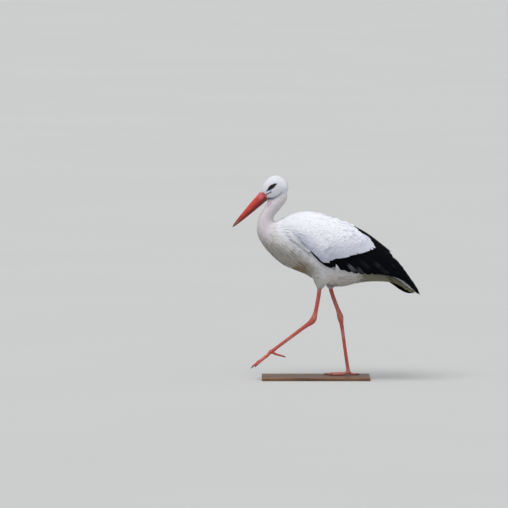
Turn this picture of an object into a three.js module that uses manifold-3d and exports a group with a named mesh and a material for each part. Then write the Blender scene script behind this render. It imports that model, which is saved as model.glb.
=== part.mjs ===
// White stork, life size, walking: a still museum model on a plain base plate.
// Millimetres, +Z up. The bird faces -X and its left side is at -Y.
// The origin is in the middle of the footprint, on the underside of the base.
import * as THREE from 'three'
import { mergeVertices } from 'three/addons/utils/BufferGeometryUtils.js'
import Module from 'manifold-3d'

const wasm = await Module()
wasm.setup()

// ---------------------------------------------------------------- driving dimensions
const GAP = 0.3 // clearance between neighbouring parts
const FACET_TOLERANCE = 0.11 // flat stretches finer than this are joined
const BASE = { length: 400, width: 190, thickness: 12, corner: 40, edge: 3, centreX: -40 }
const SOLE = BASE.thickness + GAP // level of the planted foot
const BILL = {
  length: 166, halfDepth: 20.4, halfWidth: 13.6, tipHalfWidth: 0.6, taper: 0.6, widthTaper: 0.8, upperShare: 0.56,
  roundness: 0.8, lastRing: 0.995,
}
const BILL_ROOT = { x: -231.4, z: 680.4 } // middle of the bill where the feathers begin
const BILL_DROP = 44.9 // degrees below level
const EYE = { x: -202, z: 716, y: 19.5, radius: 8.5 }
const WING_SHELL = 7 // thickness of the folded flight feathers
const WING_SHELL_TIP = 3
const TAIL = { arch: 14, rootArch: 0.4, rootThick: 40, tipThick: 6, edgeShare: 0.35 }
const TOES = [ // splay is in degrees from straight ahead, outwards positive
  { name: 'inner', length: 62, splay: -27, radius: 5.2 },
  { name: 'middle', length: 80, splay: 0, radius: 5.6 },
  { name: 'outer', length: 69, splay: 27, radius: 5.2 },
  { name: 'hind', length: 27, splay: 168, radius: 4.6 },
]
const TOE_SHAPE = { start: 4, taper: 0.32, knuckle: 0.1, knuckles: 3, flatness: 0.92 }
const CLAW = { length: 11, radius: 3.1, tip: 0.7, droop: 2.4, overlap: 4 }
// pitch and yaw in degrees; curl in mm at a toe's tip; hindDrop is the fall of the hind toe's slope
const PLANTED_FOOT = { x: 82, y: 28, z: SOLE, pitch: 0, yaw: 6, spread: 1, curl: 0, hindDrop: 0 }
const LIFTED_FOOT = { x: -206, y: -34, z: 94, pitch: 29, yaw: 4, spread: 0.62, curl: 8, hindDrop: 0.9 }
const FOOT_JOINT = { height: 10, radius: 8 }

// ---------------------------------------------------------------- colours
const COLOURS = {
  white: ['#e9e7e6', 0.9],
  cream: ['#d9cfc0', 0.9],
  black: ['#15161a', 0.6],
  red: ['#c9483d', 0.45],
  legRed: ['#c8503f', 0.55],
  eye: ['#120d0b', 0.1],
  claw: ['#4a302a', 0.5],
  wood: ['#6b4a31', 0.5],
}

function material(colourName) {
  const [color, roughness] = COLOURS[colourName]
  return new THREE.MeshStandardMaterial({ color, roughness, metalness: 0 })
}

// ---------------------------------------------------------------- solids
const SIDE_AXIS = new THREE.Vector3(0, 1, 0)

function manifoldFromGeometry(source) {
  const bare = source.clone()
  bare.deleteAttribute('normal')
  bare.deleteAttribute('uv')
  const merged = mergeVertices(bare, 1e-4)
  return new wasm.Manifold(new wasm.Mesh({
    numProp: 3,
    vertProperties: Float32Array.from(merged.attributes.position.array),
    triVerts: Uint32Array.from(merged.index.array),
  }))
}

function geometryFromManifold(solid) {
  const raw = solid.getMesh()
  const geometry = new THREE.BufferGeometry()
  const positions = new Float32Array(raw.numVert * 3)
  for (let i = 0; i < raw.numVert; i++) {
    for (let k = 0; k < 3; k++) positions[i * 3 + k] = raw.vertProperties[i * raw.numProp + k]
  }
  geometry.setAttribute('position', new THREE.BufferAttribute(positions, 3))
  geometry.setIndex(Array.from(raw.triVerts))
  geometry.computeVertexNormals()
  return geometry
}

function biggestPiece(solid) {
  const pieces = solid.decompose()
  return pieces.reduce((best, piece) => (piece.volume() > best.volume() ? piece : best))
}

// A closed solid through a row of rings, each an array of as many points.
function solidFromRings(rings) {
  const count = rings[0].length
  const points = rings.flat()
  const centre = (ring) => ring.reduce((sum, p) => sum.add(p), new THREE.Vector3()).divideScalar(count)
  const firstCap = points.push(centre(rings[0])) - 1
  const lastCap = points.push(centre(rings[rings.length - 1])) - 1
  const triangles = []
  for (let r = 0; r + 1 < rings.length; r++) {
    for (let i = 0; i < count; i++) {
      const a = r * count + i
      const b = r * count + ((i + 1) % count)
      triangles.push(a, b, b + count, a, b + count, a + count)
    }
  }
  const lastRing = (rings.length - 1) * count
  for (let i = 0; i < count; i++) {
    const next = (i + 1) % count
    triangles.push(firstCap, next, i, lastCap, lastRing + i, lastRing + next)
  }
  let volume = 0
  for (let t = 0; t < triangles.length; t += 3) {
    const [a, b, c] = [0, 1, 2].map((k) => points[triangles[t + k]])
    volume += a.dot(new THREE.Vector3().crossVectors(b, c))
  }
  if (volume < 0) triangles.reverse()
  const geometry = new THREE.BufferGeometry().setFromPoints(points)
  geometry.setIndex(triangles)
  return manifoldFromGeometry(geometry)
}

// A ring between an upper and a lower point of the side view, as wide as halfWidth each way.
// squareness 2 is an ellipse, more is boxier; fullness moves the widest place down.
function ringBetween(upper, lower, halfWidth, sides, squareness, fullness) {
  const middle = new THREE.Vector3().addVectors(upper, lower).multiplyScalar(0.5)
  const half = new THREE.Vector3().subVectors(upper, lower).multiplyScalar(0.5)
  const power = (v) => Math.sign(v) * Math.pow(Math.abs(v), 2 / squareness)
  return Array.from({ length: sides }, (_, i) => {
    const angle = (2 * Math.PI * i) / sides
    const height = power(Math.cos(angle))
    const width = halfWidth * power(Math.sin(angle)) * (1 - fullness * Math.cos(angle))
    return middle.clone().addScaledVector(half, height).addScaledVector(SIDE_AXIS, width)
  })
}

// Rings through stations of the side view: [upperX, upperZ, lowerX, lowerZ, halfWidth].
// grown moves the whole surface outwards, or inwards where it is negative.
function bodyRings(stations, { rings, sides, squareness = 2.1, fullness = 0, grown = () => 0 }) {
  const curve = (ix, iz) => new THREE.CatmullRomCurve3(
    stations.map((s) => new THREE.Vector3(s[ix], s[4], s[iz])), false, 'centripetal')
  const upperCurve = curve(0, 1)
  const lowerCurve = curve(2, 3)
  return Array.from({ length: rings }, (_, r) => {
    const t = r / (rings - 1)
    const upper = upperCurve.getPoint(t)
    const lower = lowerCurve.getPoint(t)
    const halfWidth = upper.y + grown(t)
    upper.y = 0
    lower.y = 0
    const outward = new THREE.Vector3().subVectors(upper, lower).setLength(grown(t))
    upper.add(outward)
    lower.sub(outward)
    return ringBetween(upper, lower, halfWidth, sides, squareness, fullness)
  })
}

// A limb through stations [x, y, z, foreAndAft, sideways], both half sizes.
function limb(stations, { rings, sides, grown = 0 }) {
  const path = new THREE.CatmullRomCurve3(
    stations.map((s) => new THREE.Vector3(s[0], s[1], s[2])), false, 'centripetal')
  const sizes = new THREE.CatmullRomCurve3(
    stations.map((s) => new THREE.Vector3(s[3], s[4], 0)), false, 'centripetal')
  const sections = Array.from({ length: rings }, (_, r) => {
    const t = r / (rings - 1)
    const centre = path.getPoint(t)
    const along = path.getTangent(t)
    const fore = new THREE.Vector3().crossVectors(along, SIDE_AXIS).normalize()
    const sideways = new THREE.Vector3().crossVectors(fore, along).normalize()
    const size = sizes.getPoint(t)
    return Array.from({ length: sides }, (_, i) => {
      const angle = (2 * Math.PI * i) / sides
      return centre.clone()
        .addScaledVector(fore, (size.x + grown) * Math.cos(angle))
        .addScaledVector(sideways, (size.y + grown) * Math.sin(angle))
    })
  })
  return solidFromRings(sections)
}

function ball(x, y, z, radius, detail = 14) {
  const sphere = new THREE.SphereGeometry(radius, detail, detail / 2)
  sphere.rotateX(Math.PI / 2)
  sphere.translate(x, y, z)
  return manifoldFromGeometry(sphere)
}

// ---------------------------------------------------------------- neck and trunk
// The back of the neck, the back and the rump above; the throat, breast and belly below.
const BODY_STATIONS = [
  [-146, 702, -212, 680, 20],
  [-144, 672, -221, 655, 25],
  [-155, 650, -229, 640, 27],
  [-175, 627, -244, 616, 28],
  [-191, 608, -255, 590, 30],
  [-196, 594, -259, 563, 34],
  [-192, 584, -257, 536, 41],
  [-176, 594, -246, 511, 52],
  [-154, 606, -229, 486, 63],
  [-128, 614, -206, 461, 72],
  [-99, 619, -173, 431, 79],
  [-62, 615, -132, 409, 84],
  [-17, 602, -82, 390, 86],
  [35, 580, -28, 360, 84],
  [86, 546, 32, 343, 76],
  [138, 500, 88, 353, 64],
  [180, 458, 142, 360, 51],
  [216, 418, 198, 362, 38],
  [248, 386, 248, 357, 22],
]
const NECK_CUTS = { // planes that part the neck, by a point and a normal towards the head
  middle: { x: -220, z: 600, nx: 0.32, nz: 0.95 },
  root: { x: -226, z: 556, nx: -0.62, nz: 0.78 },
}

const bodyOptions = { rings: 31, sides: 24, fullness: 0.06 }

function bodySolid(extra) {
  return solidFromRings(bodyRings(BODY_STATIONS, { ...bodyOptions, grown: () => extra }))
}

// The part of a solid on the head's side of a cut, or on the tail's side with towards = -1.
function sideOfCut(solid, cut, towards) {
  const offset = cut.x * cut.nx + cut.z * cut.nz
  const normal = [cut.nx * towards, 0, cut.nz * towards]
  return solid.trimByPlane(normal, offset * towards + GAP / 2)
}

// ---------------------------------------------------------------- head
// From the forehead over the crown to the nape above; from the gape along the jaw below.
const HEAD_STATIONS = [
  [-242, 692, -218, 664, 14],
  [-240, 711, -214, 662, 19],
  [-229, 733, -208, 660, 23.5],
  [-214, 748, -201, 661, 26.5],
  [-197, 755, -194, 666, 28],
  [-179, 756, -186, 671, 28.5],
  [-161, 747, -177, 677, 27.5],
  [-147, 731, -167, 683, 24.5],
  [-141, 712, -158, 689, 18],
  [-142, 701, -151, 693, 8],
]

function headSolid(extra) {
  return solidFromRings(bodyRings(HEAD_STATIONS, { rings: 14, sides: 18, grown: () => extra }))
}

// ---------------------------------------------------------------- bill
// A half of the bill, as rings along its axis: part 1 is the upper one, -1 the lower one.
function billHalf(part, grown = 0) {
  const rings = 12
  const sides = 10
  const share = part > 0 ? BILL.upperShare : 1 - BILL.upperShare
  const meeting = BILL.halfDepth * (1 - 2 * BILL.upperShare) // height of the line of the mouth
  const sections = Array.from({ length: rings }, (_, r) => {
    const t = (r / (rings - 1)) * BILL.lastRing
    const depth = 2 * (BILL.halfDepth * share * Math.pow(1 - t, BILL.taper) + grown)
    const width = Math.max(BILL.halfWidth * Math.pow(1 - t, BILL.widthTaper), BILL.tipHalfWidth) + grown
    const mouth = meeting * (1 - t) + part * (GAP / 2 - grown)
    const behind = r === 0 ? grown : 0
    return Array.from({ length: sides + 1 }, (_, i) => {
      const angle = (Math.PI * i) / sides
      const height = mouth + part * depth * Math.pow(Math.sin(angle), BILL.roundness)
      return new THREE.Vector3(behind - t * BILL.length, width * Math.cos(angle), height)
    })
  })
  const level = solidFromRings(sections)
  return level.rotate([0, -BILL_DROP, 0]).translate([BILL_ROOT.x, 0, BILL_ROOT.z])
}

// ---------------------------------------------------------------- wings
// The outer surface of the folded wings, in stations like the body's.
const CLOAK_STATIONS = [
  [-176, 593, -246, 512, 50],
  [-154, 606.5, -229, 486, 63],
  [-128, 615.5, -206, 456, 75],
  [-99, 621, -173, 422, 86],
  [-62, 621, -132, 396, 94],
  [-17, 612, -84, 375, 99],
  [35, 596, -32, 352, 99],
  [90, 575, 27, 338, 95],
  [140, 549, 86, 332, 88],
  [191, 509, 142, 328, 79],
  [238, 472, 197, 322, 70],
  [290, 421, 250, 312, 60],
  [327, 364, 300, 300, 50],
  [349, 330, 335, 296, 38],
  [356, 318, 348, 296, 30],
]
// The folded wing from the side: its upper edge runs back from the shoulder to the tip,
// its lower edge comes forward again past the tips of the long feathers.
const WING_UPPER_EDGE = [
  [-158, 600], [-99, 630], [0, 625], [90, 585], [191, 517], [239, 480],
]
const LEFT_WING_TIP = [
  [241, 469], [293, 421], [329, 363], [345, 336], [340, 331], [350, 314], [334, 317], [325, 326], [327, 340],
  [318, 349], [285, 376],
]
const RIGHT_WING_TIP = [ // shut a little more, and hanging lower, than the left one
  [241, 469], [282, 422], [310, 364], [318, 340], [313, 335], [320, 317], [304, 315], [291, 319], [280, 330],
  [270, 350], [260, 370],
]
const WING_LOWER_EDGE = [
  [238, 388], [191, 387], [139, 391], [68, 409], [42, 421], [27, 409], [5, 411],
  [-16, 430], [-60, 474], [-92, 497], [-128, 528], [-150, 562],
]
const MANTLE = { frontX: -170, frontHalf: 46, rearX: 80, bottom: 450, top: 750 } // the back between the wings
const WING_HALF_SPAN = 200 // further out than any folded wing reaches

function wingOutline(tip) {
  const outline = new THREE.Shape()
  const points = (list) => list.map(([x, z]) => new THREE.Vector2(x, z))
  outline.moveTo(...WING_UPPER_EDGE[0])
  outline.splineThru(points(WING_UPPER_EDGE.slice(1)))
  for (const [x, z] of tip) outline.lineTo(x, z)
  outline.lineTo(...WING_LOWER_EDGE[0])
  outline.splineThru(points(WING_LOWER_EDGE.slice(1)))
  outline.closePath()
  return outline
}

// A flat shape of the side view, drawn in x and z, made as deep as depth towards -Y.
function sideSlab(shape, depth, curveSegments) {
  const slab = new THREE.ExtrudeGeometry(shape, { depth, bevelEnabled: false, curveSegments })
  slab.rotateX(Math.PI / 2)
  return manifoldFromGeometry(slab)
}

function cloakSolid(shrink) {
  const options = { rings: 21, sides: 22, squareness: 2.1, fullness: 0.02, grown: shrink }
  return solidFromRings(bodyRings(CLOAK_STATIONS, options))
}

function mantleSolid() {
  const wedge = new THREE.Shape()
  wedge.moveTo(MANTLE.frontX, -MANTLE.frontHalf)
  wedge.lineTo(MANTLE.rearX, 0)
  wedge.lineTo(MANTLE.frontX, MANTLE.frontHalf)
  const tall = new THREE.ExtrudeGeometry(wedge, { depth: MANTLE.top - MANTLE.bottom, bevelEnabled: false })
  tall.translate(0, 0, MANTLE.bottom)
  return manifoldFromGeometry(tall)
}

function wingShell(tip, grown = 0) {
  const thicknessAt = (t) => THREE.MathUtils.lerp(WING_SHELL, WING_SHELL_TIP, Math.max(0, (t - 0.5) * 2))
  const outline = sideSlab(wingOutline(tip), WING_HALF_SPAN, 5)
  return cloakSolid(() => grown)
    .intersect(outline)
    .subtract(cloakSolid((t) => -thicknessAt(t) - grown))
    .subtract(mantleSolid())
    .trimByPlane([0, -1, 0], GAP / 2)
}

const leftWingShell = (grown = 0) => wingShell(LEFT_WING_TIP, grown)
const rightWingShell = (grown = 0) => wingShell(RIGHT_WING_TIP, grown).mirror([0, 1, 0])

// ---------------------------------------------------------------- tail
// [x, z, halfWidth] along the middle of the tail, from under the rump to the feather tips.
const TAIL_STATIONS = [
  [150, 428, 24],
  [197, 409, 33],
  [234, 392, 38],
  [271, 373, 41],
  [302, 352, 41],
  [326, 334, 38],
  [332, 330, 30],
]

function tailSolid(across = 10) {
  const curve = new THREE.CatmullRomCurve3(
    TAIL_STATIONS.map(([x, z, w]) => new THREE.Vector3(x, w, z)), false, 'centripetal')
  const count = 12
  const sections = Array.from({ length: count }, (_, r) => {
    const t = r / (count - 1)
    const p = curve.getPoint(t)
    const thick = THREE.MathUtils.lerp(TAIL.rootThick, TAIL.tipThick, t)
    const arch = TAIL.arch * Math.min(1, TAIL.rootArch + t)
    const edge = (i, lower) => {
      const side = 1 - (2 * i) / across
      const depth = thick * (1 - (1 - TAIL.edgeShare) * side * side)
      return new THREE.Vector3(p.x, p.y * side, p.z - arch * side * side - (lower ? depth : 0))
    }
    const over = Array.from({ length: across + 1 }, (_, i) => edge(i, false))
    const under = Array.from({ length: across + 1 }, (_, i) => edge(across - i, true))
    return [...over, ...under]
  })
  return solidFromRings(sections)
}

// ---------------------------------------------------------------- legs
const LEG_RINGS = { rings: 18, sides: 10 }
const THIGH_RINGS = { rings: 9, sides: 14 }
const LEFT_THIGH = [
  [-8, -44, 446, 46, 30],
  [-14, -43, 408, 43, 29],
  [-20, -41, 376, 34, 24],
  [-24, -39, 353, 20, 15],
  [-26, -38, 340, 10, 9],
]
const RIGHT_THIGH = [
  [26, 44, 438, 46, 30],
  [23, 42, 402, 42, 28],
  [18, 38, 370, 33, 23],
  [14, 35, 347, 20, 15],
  [12, 34, 335, 10, 9],
]
const LEFT_LEG = [
  [-25, -38, 354, 7.5, 6.5],
  [-30, -37, 310, 7.2, 6.2],
  [-41, -36, 252, 7.2, 6.2],
  [-45, -36, 236, 9.5, 8.5],
  [-50, -35.5, 222, 11.5, 9.5],
  [-60, -35, 212, 10, 8.5],
  [-76, -35, 201, 7, 5.6],
  [-140, -34.5, 153, 6, 5],
  [-188, -34, 117, 6, 5],
  [-200, -34, 107.5, 7, 6.2],
]
const LEFT_ANKLE = { x: -50, z: 222, nx: 0.51, nz: 0.86 } // the cut between shank and tarsus
const RIGHT_ANKLE = { x: 51, z: 229, nx: -0.2, nz: 0.98 }
const RIGHT_LEG = [
  [11, 34, 350, 7.5, 6.5],
  [21, 33, 312, 7.2, 6.2],
  [41, 31, 258, 7.4, 6.4],
  [47, 31, 242, 9.5, 8.5],
  [51, 30.5, 229, 11.5, 9.5],
  [53, 30, 216, 9.5, 8.5],
  [56, 30, 200, 6.8, 5.6],
  [68, 29, 114, 6, 5],
  [78, 28, 44, 6.2, 5.2],
  [80.5, 28, 29, 7.2, 6.4],
]

// ---------------------------------------------------------------- feet
// A foot is made level, facing -X, its sole at z 0 under the joint, then turned and moved.
function toePath(toe, foot, side, from, to) {
  const splay = THREE.MathUtils.degToRad(toe.splay * (Math.abs(toe.splay) < 90 ? foot.spread : 1) * side)
  const steps = 7
  return Array.from({ length: steps }, (_, i) => {
    const f = THREE.MathUtils.lerp(from, to, i / (steps - 1))
    const reach = TOE_SHAPE.start + toe.length * f
    const knuckle = 1 + TOE_SHAPE.knuckle * Math.cos(f * TOE_SHAPE.knuckles * 2 * Math.PI)
    const radius = toe.radius * (1 - TOE_SHAPE.taper * f) * knuckle
    const height = radius * TOE_SHAPE.flatness + (FOOT_JOINT.height - toe.radius) * Math.pow(Math.max(0, 1 - 4 * f), 2)
    const sag = Math.abs(toe.splay) < 90 ? foot.curl * f * f : foot.hindDrop * reach
    return [-reach * Math.cos(splay), reach * Math.sin(splay), height - sag, radius, radius * 0.95]
  })
}

function toeSolid(toe, foot, side) {
  return limb(toePath(toe, foot, side, 0, 1), { rings: 7, sides: 6 })
}

function clawSolid(toe, foot, side, grown = 0) {
  const path = toePath(toe, foot, side, 0, 1)
  const tip = path[path.length - 1]
  const before = path[path.length - 2]
  const ahead = new THREE.Vector3(tip[0] - before[0], tip[1] - before[1], tip[2] - before[2]).normalize()
  const steps = 5
  const stations = Array.from({ length: steps }, (_, i) => {
    const f = i / (steps - 1)
    const reach = -CLAW.overlap + (CLAW.length + CLAW.overlap) * f
    const radius = THREE.MathUtils.lerp(CLAW.radius, CLAW.tip, f * f)
    const lowest = foot === PLANTED_FOOT ? radius + GAP : -Infinity
    const height = Math.max(tip[2] + ahead.z * reach - CLAW.droop * f * f, lowest)
    return [tip[0] + ahead.x * reach, tip[1] + ahead.y * reach, height, radius, radius]
  })
  return limb(stations, { rings: 4, sides: 6, grown })
}

function placedFoot(solid, foot, side) {
  return solid
    .translate([0, 0, -FOOT_JOINT.height])
    .rotate([0, -foot.pitch, foot.yaw * -side])
    .translate([foot.x, foot.y, foot.z + FOOT_JOINT.height])
}

function footSolid(foot, side, leg) {
  let sole = ball(0, 0, FOOT_JOINT.height, FOOT_JOINT.radius, 8)
  for (const toe of TOES) sole = sole.add(toeSolid(toe, foot, side))
  if (foot === PLANTED_FOOT) sole = sole.trimByPlane([0, 0, 1], 0)
  for (const toe of TOES) sole = sole.subtract(clawSolid(toe, foot, side, GAP))
  return placedFoot(sole, foot, side).subtract(leg)
}

// ---------------------------------------------------------------- stand
function baseSolid() {
  const { length, width, thickness, corner, edge, centreX } = BASE
  const halfX = length / 2 - edge
  const halfY = width / 2 - edge
  const round = corner - edge
  const plate = new THREE.Shape()
  plate.moveTo(-halfX + round, -halfY)
  plate.lineTo(halfX - round, -halfY)
  plate.absarc(halfX - round, -halfY + round, round, -Math.PI / 2, 0)
  plate.absarc(halfX - round, halfY - round, round, 0, Math.PI / 2)
  plate.absarc(-halfX + round, halfY - round, round, Math.PI / 2, Math.PI)
  plate.absarc(-halfX + round, -halfY + round, round, Math.PI, Math.PI * 1.5)
  const solid = new THREE.ExtrudeGeometry(plate, {
    depth: thickness - 2 * edge,
    bevelThickness: edge,
    bevelSize: edge,
    bevelSegments: 1,
    curveSegments: 6,
  })
  solid.translate(centreX, 0, edge)
  return manifoldFromGeometry(solid)
}

// ---------------------------------------------------------------- the stork
const stork = new THREE.Group()
stork.name = 'white_stork'

function addNode(name, solid, colourName) {
  const facets = biggestPiece(solid.simplify(FACET_TOLERANCE))
  const mesh = new THREE.Mesh(geometryFromManifold(facets), material(colourName))
  mesh.name = name
  stork.add(mesh)
}

const wholeBody = bodySolid(0)
const grownHead = headSolid(GAP)
const grownEyes = [-1, 1].map((side) => ball(EYE.x, EYE.y * side, EYE.z, EYE.radius + GAP))
const eyeless = grownEyes.reduce((solid, eye) => solid.subtract(eye), headSolid(0))
const billUpper = billHalf(1)
const billLower = billHalf(-1)
const grownBill = billHalf(1, GAP).add(billHalf(-1, GAP))
const neck = sideOfCut(wholeBody, NECK_CUTS.root, 1).subtract(grownHead)
const trunk = sideOfCut(wholeBody, NECK_CUTS.root, -1)
const grownTrunk = bodySolid(GAP)

addNode('head', eyeless.subtract(grownBill), 'white')
addNode('neck_upper', sideOfCut(neck, NECK_CUTS.middle, 1).subtract(grownBill), 'white')
addNode('neck_lower', sideOfCut(neck, NECK_CUTS.middle, -1), 'white')
addNode('trunk', trunk, 'cream')
addNode('bill_upper', billUpper, 'red')
addNode('bill_lower', billLower, 'red')
addNode('eye_left', ball(EYE.x, -EYE.y, EYE.z, EYE.radius), 'eye')
addNode('eye_right', ball(EYE.x, EYE.y, EYE.z, EYE.radius), 'eye')

const leftWing = leftWingShell().subtract(grownTrunk)
const rightWing = rightWingShell().subtract(grownTrunk)
const tail = tailSolid().subtract(grownTrunk).subtract(leftWingShell(GAP)).subtract(rightWingShell(GAP))
addNode('wing_left', leftWing, 'black')
addNode('wing_right', rightWing, 'black')
addNode('tail', tail, 'white')

const legs = [
  { name: 'left', side: -1, thigh: LEFT_THIGH, leg: LEFT_LEG, ankle: LEFT_ANKLE, foot: LIFTED_FOOT },
  { name: 'right', side: 1, thigh: RIGHT_THIGH, leg: RIGHT_LEG, ankle: RIGHT_ANKLE, foot: PLANTED_FOOT },
]
for (const { name, side, thigh, leg, ankle, foot } of legs) {
  const bareLeg = limb(leg, LEG_RINGS)
  const grownLeg = limb(leg, { ...LEG_RINGS, grown: GAP })
  const thighSolid = limb(thigh, THIGH_RINGS).subtract(grownTrunk).subtract(grownLeg)
  addNode(`thigh_${name}`, thighSolid, 'cream')
  addNode(`shank_${name}`, sideOfCut(bareLeg, ankle, 1), 'legRed')
  addNode(`tarsus_${name}`, sideOfCut(bareLeg, ankle, -1), 'legRed')
  addNode(`foot_${name}`, footSolid(foot, side, grownLeg), 'legRed')
  for (const toe of TOES) {
    addNode(`claw_${name}_${toe.name}`, placedFoot(clawSolid(toe, foot, side), foot, side), 'claw')
  }
}

addNode('stand_base', baseSolid(), 'wood')

export default stork
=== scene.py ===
"""White stork, life size: one skin, its coat of feathers, flight feathers, bill, eyes, claws and stand."""

import math
import bmesh
import bpy
import numpy as np
from bpy.props import FloatProperty, FloatVectorProperty, PointerProperty
from bpy.types import Operator, Panel, PropertyGroup
from mathutils import Matrix, Vector, noise
from mathutils.bvhtree import BVHTree


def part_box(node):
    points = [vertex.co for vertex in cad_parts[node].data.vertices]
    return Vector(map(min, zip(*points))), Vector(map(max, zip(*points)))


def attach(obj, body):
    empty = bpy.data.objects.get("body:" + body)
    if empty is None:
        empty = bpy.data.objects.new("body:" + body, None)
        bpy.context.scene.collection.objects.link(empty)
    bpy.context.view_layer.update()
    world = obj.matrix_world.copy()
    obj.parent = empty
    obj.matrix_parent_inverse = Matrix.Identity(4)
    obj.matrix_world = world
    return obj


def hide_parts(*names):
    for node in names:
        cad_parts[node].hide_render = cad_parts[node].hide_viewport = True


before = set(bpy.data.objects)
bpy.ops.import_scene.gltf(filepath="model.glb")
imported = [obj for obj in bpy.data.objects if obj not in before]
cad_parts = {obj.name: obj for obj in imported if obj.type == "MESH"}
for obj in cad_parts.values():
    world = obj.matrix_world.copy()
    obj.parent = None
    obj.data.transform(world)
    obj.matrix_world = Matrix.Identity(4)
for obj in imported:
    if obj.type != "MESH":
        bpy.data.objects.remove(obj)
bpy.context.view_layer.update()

bl_info = {
    "name": "White stork looks",
    "version": (1, 0, 0),
    "blender": (4, 5, 0),
    "location": "3D View > Sidebar > Stork",
    "description": "Builds the skin, feathers, bill, eyes, claws and stand of a life-size white stork",
    "category": "Object",
}

MM = 0.001
SIDES = {"left": -1, "right": 1}
BODY = "root"


# ---------------------------------------------------------------- sizes and colours
def colour_property(name, description, default):
    return FloatVectorProperty(
        name=name, description=description, default=default, subtype="COLOR", min=0, max=1
    )


def length_property(name, description, default):
    return FloatProperty(
        name=name, description=description, default=default, unit="LENGTH", subtype="DISTANCE"
    )


def strength_property(name, description, default):
    return FloatProperty(name=name, description=description, default=default, subtype="FACTOR", min=0)


class PlumageSettings(PropertyGroup):
    upper_white: colour_property("Upper white", "Feathers of the head, back and wings", (0.82, 0.825, 0.88))
    # partly the feathers' own cream, partly painted shade of the underside
    belly_cream_and_shade: colour_property("Belly cream", "Feathers of breast, belly and flanks", (0.575, 0.552, 0.510))
    neck_cream: colour_property("Neck cream", "Feathers of the neck", (0.68, 0.625, 0.66))
    # painted shade of the underside, with some soiling
    underside_shade_and_soil: colour_property("Shaded down", "Soiled down of the underside", (0.355, 0.335, 0.30))
    # painted shade, olive with a painted green reflection
    tail_under_shade: colour_property("Tail underside", "Shaded feathers below the tail", (0.140, 0.128, 0.068))
    stain: colour_property("Stain", "Dusty brown of the lower breast", (0.22, 0.155, 0.09))
    flight_black: colour_property("Flight black", "Flight feathers", (0.0016, 0.0021, 0.0038))
    silver: colour_property("Silver", "Grey bloom on the edges of the secondaries", (0.13, 0.14, 0.16))
    density: strength_property("Density", "Closeness of the small feathers", 1.0)


class BareSettings(PropertyGroup):
    leg_red: colour_property("Leg red", "Bare skin of the legs", (0.50, 0.062, 0.042))
    leg_dust: colour_property("Leg dust", "Pale dust that lies on the legs in patches", (0.56, 0.33, 0.28))
    eye_skin: colour_property("Eye skin", "Bare skin round the eye", (0.008, 0.007, 0.010))
    iris: colour_property("Iris", "Iris of the eye", (0.035, 0.018, 0.012))
    bill_red: colour_property("Bill red", "Horn of the bill", (0.52, 0.040, 0.036))
    horn_rose: colour_property("Horn rose", "Horn where the bill leaves the feathers", (0.60, 0.13, 0.14))
    bill_tip: colour_property("Bill tip", "Worn horn at the tip of the bill", (0.20, 0.075, 0.024))
    claw: colour_property("Claw", "Horn of the claws", (0.085, 0.040, 0.030))


class StageSettings(PropertyGroup):
    floor: colour_property("Floor", "Pale studio floor", (0.50, 0.50, 0.495))
    sun: strength_property("Overhead light", "Strength of the soft overhead light", 2.85)
    sky: strength_property("Fill", "Strength of the light from all round", 0.40)
    side: strength_property("Side light", "Strength of the weak light from the tail's side", 0.5)
    distance: length_property("Camera distance", "From the camera to the bird", 25.0)
    frame_width: length_property("Frame width", "Width of the picture at the bird", 1.8796)


class StandSettings(PropertyGroup):
    length: length_property("Length", "Length of the base", 0.400)
    width: length_property("Width", "Width of the base", 0.190)
    thickness: length_property("Thickness", "Thickness of the base", 0.012)
    corner: length_property("Corner", "Radius of the base's corners", 0.040)
    wood: colour_property("Wood", "Oiled wood of the base", (0.16, 0.075, 0.035))


# ---------------------------------------------------------------- small helpers
def smoothstep(value, low, high):
    t = np.clip((value - low) / (high - low), 0, 1)
    return t * t * (3 - 2 * t)


def unit(vectors):
    return vectors / np.maximum(np.linalg.norm(vectors, axis=-1, keepdims=True), 1e-12)


def mix(first, second, weight):
    return first + (second - first) * weight[..., None]


def smooth_curve(points, count):
    """Points along a smooth curve through the given ones."""
    points = np.asarray(points, float)
    padded = np.vstack([2 * points[0] - points[1], points, 2 * points[-1] - points[-2]])
    place = np.linspace(0, len(points) - 1, count)
    first = np.minimum(place.astype(int), len(points) - 2)
    t = (place - first)[:, None]
    a, b, c, d = (padded[first + k] for k in range(4))
    return 0.5 * (2 * b + (c - a) * t + (2 * a - 5 * b + 4 * c - d) * t**2 + (3 * b - a - 3 * c + d) * t**3)


def along_curve(points, shares):
    """Points at shares, 0 to 1, of the length of the smooth curve through the given ones."""
    curve = smooth_curve(points, 160)
    run = np.concatenate([[0], np.cumsum(np.linalg.norm(np.diff(curve, axis=0), axis=1))])
    return np.stack([np.interp(np.asarray(shares) * run[-1], run, column) for column in curve.T], -1)


def select_nothing():
    bpy.ops.object.select_all(action="DESELECT")


def select_only(obj):
    select_nothing()
    obj.select_set(True)
    bpy.context.view_layer.objects.active = obj


def new_object(name, mesh):
    obj = bpy.data.objects.new(name, mesh)
    bpy.context.scene.collection.objects.link(obj)
    return obj


def apply_modifier(obj, kind, **settings):
    select_only(obj)
    modifier = obj.modifiers.new(kind.title(), kind)
    for key, value in settings.items():
        setattr(modifier, key, value)
    bpy.ops.object.modifier_apply(modifier=modifier.name)


def finish_piece(obj, material, replaced=()):
    obj.data.materials.clear()
    obj.data.materials.append(material)
    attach(obj, BODY)
    if replaced:
        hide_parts(*replaced)


def edit_mesh(obj, action="SELECT"):
    """Opens one object in edit mode, with all of its mesh selected, or none of it."""
    select_only(obj)
    bpy.ops.object.mode_set(mode="EDIT")
    bpy.ops.mesh.select_all(action=action)


def new_primitive(name):
    """Names the primitive that was just added, and puts its turn and size into its mesh."""
    obj = bpy.context.active_object
    obj.name = obj.data.name = name
    bpy.ops.object.transform_apply(location=True, rotation=True, scale=True)
    return obj


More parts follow.
